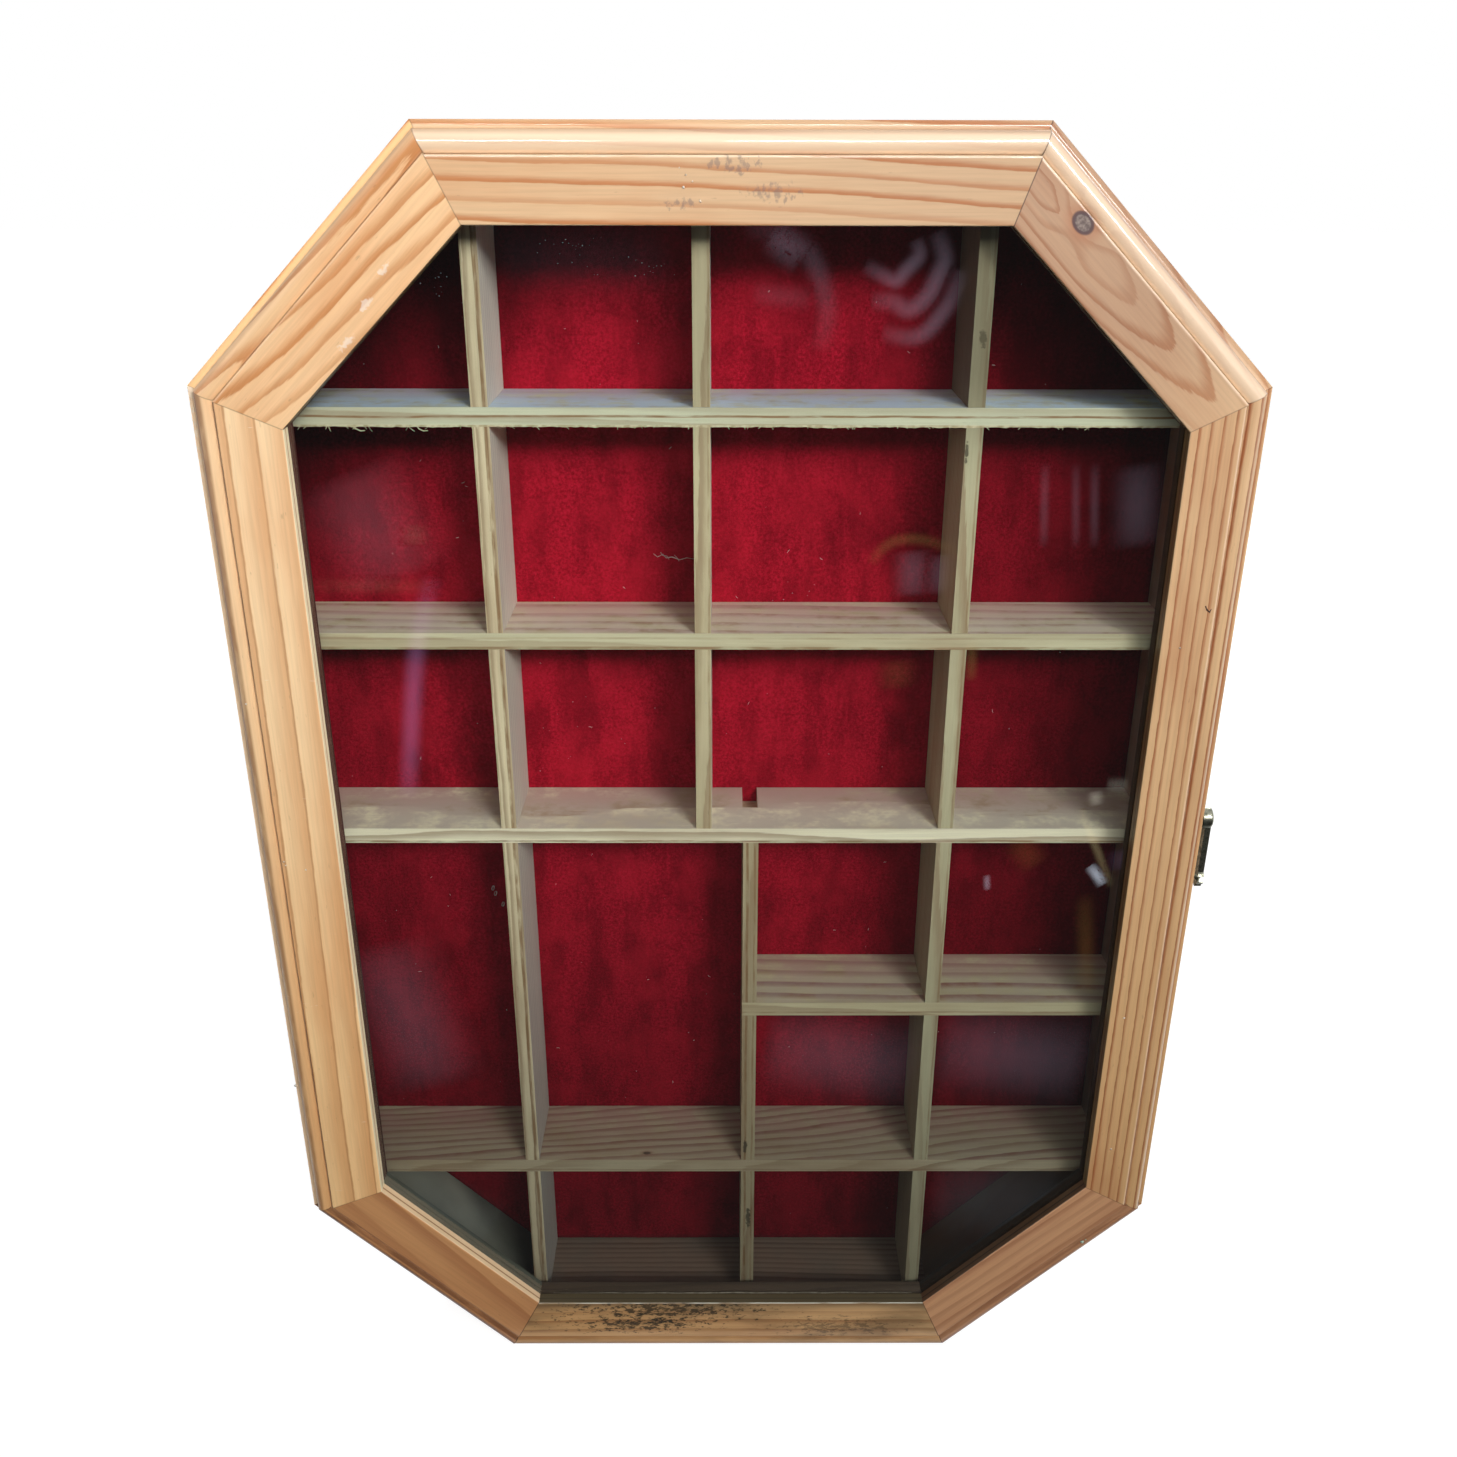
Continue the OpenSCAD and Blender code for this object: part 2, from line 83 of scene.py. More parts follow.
class Graph:
    """One material, or the world, and short ways to add shader nodes to it."""

    def __init__(self, name, kind="materials"):
        self.holder = getattr(bpy.data, kind).new(name)
        self.holder.use_nodes = True
        self.tree = self.holder.node_tree
        self.tree.nodes.clear()

    def node(self, kind, inputs=None, **settings):
        made = self.tree.nodes.new("ShaderNode" + kind)
        for key, value in settings.items():
            setattr(made, key, value)
        for key, value in (inputs or {}).items():
            if isinstance(value, bpy.types.NodeSocket):
                self.tree.links.new(value, made.inputs[key])
            else:
                made.inputs[key].default_value = value
        return made

    def math(self, operation, a, b=0.0):
        return self.node("Math", {0: a, 1: b}, operation=operation).outputs[0]

    def add(self, a, b):
        return self.math("ADD", a, b)

    def less(self, a, b):
        return self.math("SUBTRACT", a, b)

    def times(self, first, *rest):
        for value in rest:
            first = self.math("MULTIPLY", first, value)
        return first

    def dot(self, a, b):
        return self.node("VectorMath", {0: a, 1: b}, operation="DOT_PRODUCT").outputs["Value"]

    def stretch(self, vector, factors, shift=(0, 0, 0)):
        return self.node("VectorMath", {0: vector, 1: factors, 2: shift}, operation="MULTIPLY_ADD").outputs[0]

    def noise(self, vector, scale=1.0, detail=2.0, rough=0.5):
        inputs = {"Vector": vector, "Scale": scale, "Detail": detail, "Roughness": rough}
        return self.node("TexNoise", inputs).outputs[0]

    def smooth(self, value, low, high, start=0.0, end=1.0):
        ends = {"Value": value, "From Min": low, "From Max": high, "To Min": start, "To Max": end}
        return self.node("MapRange", ends, interpolation_type="SMOOTHSTEP").outputs[0]

    def line(self, value, centre, half, soft):
        """1 within half of centre, falling to 0 over soft."""
        away = self.math("ABSOLUTE", self.less(value, centre))
        return self.smooth(away, half, half + soft, 1.0, 0.0)

    def length(self, a, b):
        return self.math("SQRT", self.add(self.times(a, a), self.times(b, b)))

    def mix(self, factor, a, b, mode="MIX"):
        return self.node("Mix", {0: factor, 6: a, 7: b}, data_type="RGBA", blend_type=mode).outputs[2]

    def paint(self, colour, tone, *masks):
        """The colour under a tone of 0 to 255, laid on as far as the product of the masks says."""
        return self.mix(self.times(*masks), colour, rgb(*tone))

    def dim(self, colour, level):
        """The colour, level times as bright."""
        grey = self.node("CombineColor", {0: level, 1: level, 2: level}).outputs[0]
        return self.mix(1.0, colour, grey, "MULTIPLY")

    def coords(self, output="Object"):
        return self.node("TexCoord").outputs[output]

    def facing(self, way, low=0.6, high=0.9, end=1.0):
        """Up to end on the faces that look along way, and 0 elsewhere."""
        return self.smooth(self.dot(self.coords("Normal"), way), low, high, 0.0, end)

    def shown(self):
        """1 for what the camera sees, straight, mirrored or through glass."""
        path = self.node("LightPath").outputs
        either = self.math("MAXIMUM", path["Is Camera Ray"], path["Is Glossy Ray"])
        return self.math("MAXIMUM", either, path["Is Transmission Ray"])

    def output(self, shader, kind="Material"):
        self.node("Output" + kind, {"Surface": shader})
        return self.holder

    def principled(self, **inputs):
        named = {key.replace("_", " "): value for key, value in inputs.items()}
        return self.node("BsdfPrincipled", named).outputs[0]

    def bump(self, height, distance, strength):
        return self.node("Bump", {"Height": height, "Distance": distance, "Strength": strength}).outputs[0]


class Wood(Graph):
    """Pine sawn from a log: growth rings round a pith line, and fine fibres. In the board's own axes u runs along it,
    n outward and y back. pith is the line's (y, n) in metres and tilt its slope along u, gap the width of a ring and
    shift its phase. sharp is how slowly a ring darkens, crisp how dark its late edge is."""

    def __init__(self, name, along, out, seed, **look):
        super().__init__(name)
        self.look = {"crisp": 0.0, **look}
        warp = look["warp"]
        place = self.coords()
        self.u = self.dot(place, along)
        self.n = self.dot(place, out)
        self.y = self.dot(place, (0, 1, 0))
        self.board = self.node("CombineXYZ", {0: self.u, 1: self.y, 2: self.n}).outputs[0]
        self.seat = (seed * 3.7, seed * 1.9, seed * 5.3)
        self.sway = 0.0
        for factors, detail, rough, reach in (((4, 16, 16), 2, 0.5, warp * 2), ((22, 130, 130), 2, 0.5, warp * 0.35),
                                              ((110, 1300, 1300), 3, 0.6, 0.0011)):
            wave = self.less(self.noise(self.stretch(self.board, factors, self.seat), 1, detail, rough), 0.5)
            self.sway = self.add(self.sway, self.times(wave, reach))

    def grow(self, push=None):
        """Makes the rings, with an extra distance push where a knot bends them, and returns the wood's colour."""
        look = self.look
        (pith_y, pith_n), (tilt_y, tilt_n) = look["pith"], look["tilt"]
        side = self.add(self.times(self.u, tilt_y), self.less(self.y, pith_y))
        rise = self.add(self.times(self.u, tilt_n), self.less(self.n, pith_n))
        radius = self.add(self.length(side, rise), self.sway)
        if push is not None:
            radius = self.add(radius, push)
        phase = self.add(self.math("DIVIDE", radius, look["gap"]), look["shift"])
        part = self.math("FRACT", phase)
        ring = self.math("FLOOR", phase)
        rise_in = self.smooth(part, 0.82 - look["sharp"], 0.88)
        self.ring = self.times(rise_in, self.smooth(part, 0.91, 0.99, 1.0, 0.0))
        vary = self.node("TexWhiteNoise", {"W": ring}, noise_dimensions="1D").outputs["Value"]
        self.ring = self.times(self.ring, self.smooth(vary, -0.2, 1.0, 0.45, 1.0))
        edge = self.times(self.smooth(part, 0.85, 0.90), self.smooth(part, 0.92, 0.97, look["crisp"], 0.0))
        self.fibre = self.noise(self.stretch(self.board, (26, 900, 900), self.seat), 1, 3, 0.6)
        blotch = self.noise(self.stretch(self.board, (9, 45, 45), self.seat), 1, 3, 0.55)
        late = rgb(*look["late"])
        colour = self.mix(self.times(self.ring, look["contrast"]), rgb(*look["pale"]), late)
        if look["crisp"]:
            colour = self.mix(edge, colour, (*(c * 0.62 for c in late[:3]), 1.0))
        warm = (*(c * f for c, f in zip(late, (1.08, 1.0, 0.95))), 1.0)
        colour = self.mix(self.smooth(blotch, 0.42, 0.78, 0.0, 0.42), colour, warm)
        fleck = self.noise(self.stretch(self.board, (160, 700, 700), self.seat), 1, 2, 0.5)
        streak = self.times(self.smooth(self.fibre, 0.3, 0.75, 1.03, 0.92), self.smooth(fleck, 0.70, 0.80, 1.0, 0.80))
        return self.dim(colour, streak)

    def away(self, centre, radii, across=None):
        """Distance from the point centre (u, n) in mm, as a share of radii. across measures it over another axis."""
        du = self.math("DIVIDE", self.less(self.u, centre[0] * MM), radii[0] * MM)
        dn = self.math("DIVIDE", self.less(across or self.n, centre[1] * MM), radii[1] * MM)
        return self.length(du, dn)

    def spot(self, centre, radii, scale=260.0, low=0.25, high=0.55, seed=0.0):
        """A broken patch round a point (u, n) in mm, as a mask from 0 to 1."""
        rough = self.noise(self.stretch(self.board, (1, 1, 1), (seed, seed, seed)), scale, 3, 0.65)
        return self.smooth(self.less(rough, self.times(self.away(centre, radii), 0.45)), low, high)

    def finish(self, colour, coat):
        """Lacquered: a satin base under a thin clear coat that keeps the brush's unevenness."""
        grain = self.bump(self.add(self.times(self.ring, 0.6), self.fibre), 0.00004, 0.6)
        brushed = self.noise(self.stretch(self.board, (60, 260, 260)), 1, 2)
        flow = self.bump(self.add(brushed, self.times(self.fibre, 0.3)), 0.00016, 0.6)
        satin = self.smooth(self.fibre, 0.2, 0.8, 0.39, 0.53)
        shader = self.principled(Base_Color=colour, Roughness=satin, Normal=grain, Coat_Weight=coat,
                                 Coat_Roughness=0.07, Coat_IOR=1.65, Coat_Normal=flow,
                                 Specular_IOR_Level=0.5 if coat > 0.6 else 0.2)
        return self.output(shader)

    def raw(self, colour):
        """Bare sawn wood."""
        grain = self.bump(self.add(self.times(self.ring, 0.5), self.times(self.fibre, 1.4)), 0.00008, 0.8)
        return self.output(self.principled(Base_Color=colour, Roughness=0.75, Normal=grain, Specular_IOR_Level=0.3))


def axes(edge):
    """Unit vectors along an edge, clockwise, and outward from it."""
    turn = math.radians(45 * edge)
    return (math.cos(turn), 0, -math.sin(turn)), (math.sin(turn), 0, math.cos(turn))


def mitre(graph, edge, end):
    """Distance of a point from the mitre line at one end of an edge: 0 the earlier corner, 1 the later one."""
    corner = (edge + end) % 8
    (ox, oz), (sx, sz) = OUTER[corner], SIGHT[corner]
    length = math.hypot(ox - sx, oz - sz)
    across = ((oz - sz) / length, 0, -(ox - sx) / length)
    start = across[0] * ox * MM + across[2] * oz * MM
    return graph.math("ABSOLUTE", graph.less(graph.dot(graph.coords(), across), start))


def material_on(name, material):
    """Gives a CAD node that material."""
    mesh = nodes[name].data
    mesh.materials.clear()
    mesh.materials.append(material)


# Each door rail's sawing, and its finish where that differs from FINISH. quirk darkens the moulding's inner groove,
# or below 0 lays a painted highlight in it that pales the groove's shade, cove the painted shade in the outer hollow,
# with grime there too on the two low sloping rails, shine the painted highlights on the crest and the field's edge,
# coat the lacquer, and ends the tints at the rail's two ends.
FINISH = dict(quirk=0.0, cove=0.0, shine=0.0, coat=0.3, ends=None)
RAILS = {
    "top": dict(pith=(-0.06, 0.42), tilt=(0.0, 0.045), gap=0.0072, shift=0.35, warp=0.0054, contrast=1.0, sharp=0.32,
                pale=(228, 191, 147), late=(196, 128, 76), quirk=-0.3, cove=0.15, shine=0.5, coat=1.0,
                ends=((1.0, 1.0, 1.0), (0.80, 0.78, 0.80))),
    "upper_right": dict(pith=(-0.088, 0.290), tilt=(0.15, 0.03), gap=0.0044, shift=0.1, warp=0.0072, contrast=0.85,
                        sharp=0.36, pale=(196, 158, 124), late=(166, 112, 76), quirk=-0.5, shine=0.5, coat=1.0,
                        ends=((0.94, 0.93, 0.95), (1.70, 1.88, 1.80))),
    "right": dict(pith=(-0.06, 0.34), tilt=(0.0, 0.002), gap=0.0049, shift=0.0, warp=0.0008, contrast=1.0, sharp=0.24,
                  crisp=0.35, pale=(224, 186, 142), late=(160, 92, 54), quirk=-0.6, coat=0.5,
                  ends=((1.0, 1.0, 1.0), (0.95, 0.87, 0.72))),
    "lower_right": dict(pith=(-0.05, 0.36), tilt=(0.02, 0.03), gap=0.0062, shift=0.5, warp=0.003, contrast=0.55,
                        sharp=0.5, pale=(210, 160, 118), late=(156, 102, 70), quirk=0.2, cove=0.55),
    "bottom": dict(pith=(-0.05, 0.40), tilt=(0.0, -0.02), gap=0.0060, shift=0.2, warp=0.006, contrast=0.7, sharp=0.5,
                   pale=(212, 170, 120), late=(150, 100, 60), quirk=0.3, cove=0.5,
                   ends=((1.06, 1.08, 1.1), (0.92, 0.87, 0.78))),
    "lower_left": dict(pith=(-0.02, 0.36), tilt=(0.05, 0.07), gap=0.0170, shift=0.10, warp=0.008, contrast=0.7,
                       sharp=0.46, pale=(204, 150, 100), late=(160, 102, 64), quirk=0.6, cove=1.0),
    "left": dict(pith=(-0.03, 0.30), tilt=(0.0, 0.010), gap=0.0118, shift=0.62, warp=0.0030, contrast=0.72,
                 sharp=0.80, crisp=0.5, pale=(255, 222, 176), late=(216, 158, 106), quirk=0.8, cove=0.75, coat=0.2,
                 ends=((0.95, 0.86, 0.70), (1.0, 1.0, 1.0))),
    "upper_left": dict(pith=(-0.02, 0.33), tilt=(0.03, 0.05), gap=0.0056, shift=0.15, warp=0.009, contrast=1.0,
                       sharp=0.40, crisp=0.1, pale=(244, 202, 154), late=(204, 138, 84), quirk=-0.25, coat=0.4),
}
# The sight edge of each rail was cut after the lacquer: the bare wood's colour, and that of one fine line along it.
# The left-hand lips keep the bare wood's pale colour; the others are painted darker, as painted shade.
LIPS = {"left": ((252, 238, 200), (206, 168, 116)), "lower_left": ((228, 200, 160), (156, 112, 76)),
        "right": ((110, 86, 54), (66, 48, 32)), "lower_right": ((76, 54, 34), (40, 28, 20))}
PLAIN_LIP = ((120, 96, 58), (74, 54, 34))


def rail_material(edge):
    """A lacquered door rail, with grime in its moulding, a mitre line at each end and a bare sight edge."""
    name = EDGES[edge]
    look = {**FINISH, **RAILS[name]}
    quirk, cove, shine, coat, ends = (look.pop(key) for key in FINISH)
    along, out = axes(edge)
    g = Wood("lacquered_pine_" + name, along, out, edge + RAIL_SEED, **look)
    sloping_low = name in ("lower_left", "lower_right")
    push = None
    if name == "upper_right":
        # The dead knot, a little longer than it is wide.
        x, z = 137.3, 283.4
        away = g.times(g.away(((x - z) / math.sqrt(2), (x + z) / math.sqrt(2)), (1 / math.sqrt(0.55), 1)), MM)
        push = g.times(g.smooth(away, 0.002, 0.016, 1.0, 0.0), 0.006)
    colour = g.grow(push)
    if ends:
        span = 0.5 * math.dist(OUTER[edge], OUTER[(edge + 1) % 8]) * MM
        tint = g.mix(g.smooth(g.u, -span, span), (*ends[0], 1.0), (*ends[1], 1.0))
        colour = g.mix(1.0, colour, tint, "MULTIPLY")
    inset = g.less(EDGE_DIST[edge] * MM, g.n)
    broken = g.smooth(g.noise(g.stretch(g.board, (40, 200, 200)), 1, 3, 0.6), 0.3, 0.6, 0.45, 1.0)
    if sloping_low:
        lines = g.math("MAXIMUM", g.line(inset, 0.0100, 0.0007, 0.0010), g.line(inset, RIM, 0.0006, 0.0010))
        colour = g.paint(colour, (96, 58, 38), lines, broken, 0.75 * cove)
    if quirk > 0:
        groove = g.line(inset, GROOVE + 0.00005, 0.0006 if name == "lower_left" else 0.00025, 0.0006)
        colour = g.paint(colour, (112, 64, 48), groove, quirk, broken)
    if quirk < 0:
        # A painted highlight that pales the groove's shade.
        groove = g.line(inset, GROOVE, 0.0004, 0.0010)
        colour = g.paint(colour, (255, 230, 198), groove, -quirk, broken)
    if cove:
        # Painted shade in the outer hollow; on the two low sloping rails it is grime as well.
        cove_shade_and_grime = (112, 70, 46) if sloping_low else (158, 106, 68)
        colour = g.paint(colour, cove_shade_and_grime, g.line(inset, COVE, 0.0012, 0.0018), cove, broken)
    if name in ("left", "upper_left"):
        # Painted light on the outer fillet, which the bead shades.
        colour = g.paint(colour, (255, 208, 150), g.line(inset, FILLET, 0.0010, 0.0010))
    if shine:
        # Painted highlights: a ragged glint along the field's edge and a broad one on the crest.
        ragged = g.smooth(g.noise(g.stretch(g.board, (90, 500, 500)), 1, 3, 0.7), 0.40, 0.60, 0.1, 1.0)
        painted_glint = g.times(g.line(inset, GROOVE + 0.0002, 0.0004, 0.0008), ragged, shine * 0.5)
        colour = g.paint(colour, (252, 232, 212), painted_glint)
        colour = g.paint(colour, (255, 228, 196), g.line(inset, CREST, 0.0030, 0.0020), 0.65)
    for end in (0, 1):
        dark = 0.75 if (edge + end) % 8 in (1, 4, 5) else 0.4
        joint = g.smooth(mitre(g, edge, end), 0.00004, 0.0004, dark, 0.0)
        colour = g.paint(colour, (52, 34, 30), joint)
    if name == "upper_right":
        disc = g.smooth(away, 0.0026, 0.0032, 1.0, 0.0)
        halo = g.line(away, 0.0032, 0.0002, 0.0008)
        speck = g.smooth(g.noise(g.board, 700, 3), 0.35, 0.7)
        knot = g.mix(speck, rgb(104, 88, 84), rgb(150, 134, 124))
        colour = g.paint(colour, (176, 116, 82), g.smooth(away, 0.0035, 0.0085, 1.0, 0.0), 0.5)
        colour = g.mix(disc, colour, knot)
        colour = g.paint(colour, (62, 44, 56), halo, 0.85)
    if name == "bottom":
        # Damp stood here: stains, black mould that thins out along the grain, and dried glue on the sight edge.
        stain = g.smooth(g.noise(g.stretch(g.board, (16, 60, 60)), 1, 4, 0.6), 0.42, 0.70)
        colour = g.paint(colour, (96, 78, 54), stain, 0.55)
        damp = g.smooth(inset, 0.0300, 0.0375)
        colour = g.paint(colour, (84, 86, 68), damp, 0.45)
        specks = g.noise(g.stretch(g.board, (260, 620, 620)), 1, 3, 0.7)
        for centre, radii, strength in (((35, 287), (62, 11), 0.86), ((50, 298), (46, 7), 0.86),
                                        ((-60, 300), (40, 8), 0.5)):
            mould = g.smooth(g.less(specks, g.times(g.away(centre, radii), 0.20)), 0.36, 0.50)
            colour = g.paint(colour, (36, 34, 28), mould, strength)
        gluey = g.smooth(g.noise(g.stretch(g.board, (50, 10, 10)), 1, 3), 0.35, 0.55, 0.2, 1.0)
        colour = g.paint(colour, (206, 204, 186), g.smooth(inset, 0.0371, 0.0376), gluey)
    if name == "top":
        ticks = g.noise(g.stretch(g.board, (420, 300, 300)), 1, 3, 0.6)
        for centre, radii in (((1, 304), (12, 4)), ((16, 294), (13, 4)), ((-20, 290), (8, 2.5))):
            away = g.away(centre, radii)
            smudge = g.smooth(g.less(ticks, g.times(away, away, 0.16)), 0.40, 0.56)
            colour = g.paint(colour, (112, 98, 98), smudge, 0.5)
    if name == "left":
        nicks = g.noise(g.stretch(g.board, (900, 120, 120)), 1, 2, 0.7)
        worn = g.smooth(g.noise(g.board, 34, 2), 0.45, 0.62)
        colour = g.paint(colour, (255, 240, 220), g.smooth(nicks, 0.70, 0.78), worn, 0.6)
        flaked = g.times(g.smooth(inset, 0.0012, 0.0030, 1.0, 0.0), g.smooth(g.u, 0.17, 0.20))
        chips = g.smooth(g.noise(g.board, 300, 3, 0.6), 0.46, 0.54)
        colour = g.paint(colour, (244, 236, 226), flaked, chips, 0.9)
        # A pale worn outer edge, laid wide as painted light over the shade of the outer hollow.
        colour = g.paint(colour, (250, 224, 192), g.smooth(inset, 0.0022, 0.0032, 1.0, 0.0), 0.75)
    if name == "upper_left":
        for x, z, seed in ((-137.4, 265.4, 1.0), (-155.6, 236.6, 4.0), (-146.0, 252.0, 7.0)):
            centre = ((x + z) / math.sqrt(2), (z - x) / math.sqrt(2))
            scuff = g.spot(centre, (7, 3), 420, 0.26, 0.42, seed)
            colour = g.paint(colour, (250, 240, 228), scuff, 0.5)
    facing = g.facing(tuple(-c for c in out), 0.6, 0.85)
    lip_pale, lip_line = LIPS.get(name, PLAIN_LIP)
    if name == "bottom":
        colour = g.paint(colour, (52, 52, 42), facing)
    # The bare lip, painted darker as shade on all but the left-hand lips.
    bare = g.mix(g.line(g.y, DOOR_FRONT + 0.0032, 0.0002, 0.0004), rgb(*lip_pale), rgb(*lip_line))
    lip = g.times(facing, g.smooth(g.y, -0.0632, -0.0626, 0.25 if name == "bottom" else 1.0, 0.0))
    colour = g.mix(lip, colour, bare)
    return g.finish(colour, coat=coat)


def board_material(edge):
    """A case board: lacquered outside, bare and dusty inside."""
    name = EDGES[edge]
    look = {key: value for key, value in RAILS[name].items() if key not in FINISH}
    look.update(pith=(-0.025, look["pith"][1] - 0.14), shift=0.6, warp=0.004)
    if name == "bottom":
        look.update(pith=(-0.16, look["pith"][1]), gap=0.0036, sharp=0.6)
    along, out = axes(edge)
    g = Wood("case_pine_" + name, along, out, edge + BOARD_SEED, **look)
    colour = g.grow()
    inside = g.facing(tuple(-c for c in out), 0.5, 0.8)
    # Painted shade darkens the bare inside of the right and lower-right boards, and painted red light from the felt
    # warms the right one.
    tone = {"bottom": (196, 170, 148), "lower_left": (222, 228, 208), "lower_right": (146, 108, 74),
            "right": (132, 90, 66)}.get(name, (196, 188, 154))
    bare = g.mix(g.times(g.ring, 0.7), rgb(*tone), rgb(124, 90, 70))
    dusty = g.mix(g.smooth(g.noise(g.board, 30, 3), 0.35, 0.7, 0.0, 0.4), bare, rgb(150, 152, 140))
    if name == "lower_left":
        # The shade of the first partition, wider towards the back.
        dusty = g.dim(dusty, g.smooth(g.less(g.u, g.times(g.y, 1.33)), -0.080, -0.048, 0.40, 1.0))
    return g.finish(g.mix(inside, colour, deepen(g, dusty, 0.32)), coat=0.4)


def deepen(graph, colour, foot):
    """The colour as it is in the upper rows, with painted shade that darkens it to foot times as bright at the foot of
    the case.
    """
    height = graph.dot(graph.coords(), (0, 0, 1))
    return graph.dim(colour, graph.smooth(height, -0.30, 0.08, foot, 1.0))


# The sawing of the partitions and glazing strips, where nothing else is said.
STRIP_PINE = dict(pith=(-0.18, 0.05), tilt=(0.02, 0.01), gap=0.0034, warp=0.0035, contrast=0.62, sharp=0.45,
                  late=(148, 120, 90))


def strip_material(name, along, out, seed, dust=0.0, dust_tone=(200, 190, 184), stripes=(), knots=(), eyes=(),
                   rosy=0.0, side_light_and_tint=1.0, shaded=0.0, left_face_shade=0.0, **look):
    """Bare pine of the partitions: thin boards, greenish cream, dusty on top. stripes are latewood lines on the front
    edge: place (mm along out), half width (mm) and strength. knots lie on the front edge, eyes on top. rosy reddens
    the grain on top, and side_light_and_tint is the strength of painted light on the faces towards +X, painted shade
    on those towards -X, and the pink on tops near the felt. shaded and left_face_shade are how much painted shade
    darkens a partition's front and left face high up, where the frame shades them."""
    g = Wood(name, along, out, seed, **{**STRIP_PINE, "shift": seed * 0.37, **look})
    colour = g.grow()
    up, front = g.facing((0, 0, 1)), g.facing((0, -1, 0))
    worn = g.smooth(g.noise(g.stretch(g.board, (70, 420, 420)), 1, 3, 0.6), 0.32, 0.6, 0.25, 1.0)
    wander = g.times(g.less(g.noise(g.stretch(g.board, (18, 3, 3)), 1, 2), 0.5), 0.0014)
    for place, half, strength in stripes:
        brown = g.times(g.line(g.add(g.n, wander), place * MM, half * MM, 0.0004), front, worn, strength)
        colour = g.paint(colour, (140, 104, 66), brown)
    for centre, radii in knots:
        colour = g.paint(colour, (66, 60, 46), g.spot(centre, radii, 500, 0.05, 0.25), front, 0.85)
    if rosy:
        colour = g.paint(colour, (150, 100, 88), up, g.ring, rosy)
    for centre, size in eyes:
        away = g.away(centre, (size * 1.9, size), across=g.y)
        colour = g.paint(colour, (150, 92, 62), g.smooth(away, 0.7, 2.2, 0.45, 0.0), up)
        colour = g.paint(colour, (64, 44, 36), g.smooth(away, 0.6, 1.1, 0.85, 0.0), up)
    mottled = g.smooth(g.noise(g.coords(), 60, 5, 0.7), 0.30, 0.60)
    near_felt = g.smooth(g.y, -0.040, -0.006)
    colour = g.paint(colour, dust_tone, up, mottled, dust)
    colour = g.paint(colour, (186, 112, 116), up, near_felt, mottled, 0.4 * side_light_and_tint)
    # Painted light pales the faces towards +X, and painted shade darkens those towards -X.
    colour = g.paint(colour, (224, 226, 226), g.facing((1, 0, 0), end=0.6 * side_light_and_tint))
    colour = g.paint(colour, (150, 116, 92), g.facing((-1, 0, 0), end=0.35 * side_light_and_tint))
    if shaded:
        # Painted shade high up, where the frame shades the partitions: on the front, and on the left face.
        high = g.smooth(g.dot(g.coords(), (0, 0, 1)), 0.17, 0.225)
        colour = g.paint(colour, (84, 78, 58), high, front, shaded)
        colour = g.paint(colour, (84, 66, 54), high, g.facing((-1, 0, 0)), left_face_shade)
    return g.raw(deepen(g, colour, 0.5))


def brass_material():
    g = Graph("aged_brass")
    place = g.coords()
    patina = g.smooth(g.noise(place, 420, 4, 0.6), 0.35, 0.7)
    fine = g.noise(place, 2600, 2)
    colour = g.mix(patina, rgb(150, 150, 134), rgb(82, 84, 72))
    rough = g.add(g.times(patina, 0.18), g.times(fine, 0.20))
    shader = g.principled(Base_Color=colour, Metallic=1.0, Roughness=g.add(rough, 0.16),
                          Normal=g.bump(fine, 0.00001, 0.5))
    return g.output(shader)


def glass_material():
    """A clear pane: it shows straight through, and its front face mirrors for both."""
    g = Graph("clear_glass")
    mirror = g.node("Fresnel", {"IOR": 1.5}).outputs[0]
    leaving = g.node("NewGeometry").outputs["Backfacing"]
    # A little over the Fresnel share, as strong as the photograph's reflections.
    share = g.times(mirror, 1.75, g.less(1.0, leaving))
    clear = g.node("BsdfTransparent", {"Color": rgb(252, 253, 252)}).outputs[0]
    gloss = g.node("BsdfGlossy", {"Color": (1, 1, 1, 1), "Roughness": 0.0}).outputs[0]
    return g.output(g.node("MixShader", {0: g.math("MINIMUM", share, 1.0), 1: clear, 2: gloss}).outputs[0])


def hardboard_material():
    g = Graph("hardboard")
    place = g.coords()
    # The screen's print on its rough side, 1.9 mm from thread to thread.
    weave = g.times(*(g.math("SINE", g.times(g.dot(place, way), 3300)) for way in ((1, 0, 0), (0, 0, 1))))
    fleck = g.noise(place, 700, 4, 0.7)
    cloud = g.noise(place, 14, 3)
    colour = g.mix(g.smooth(fleck, 0.3, 0.7), rgb(164, 122, 84), rgb(128, 90, 60))
    colour = g.paint(colour, (180, 144, 106), g.smooth(cloud, 0.4, 0.7, 0.0, 0.35))
    relief = g.add(g.times(weave, 0.5), fleck)
    return g.output(g.principled(Base_Color=colour, Roughness=0.8, Normal=g.bump(relief, 0.00025, 0.7)))


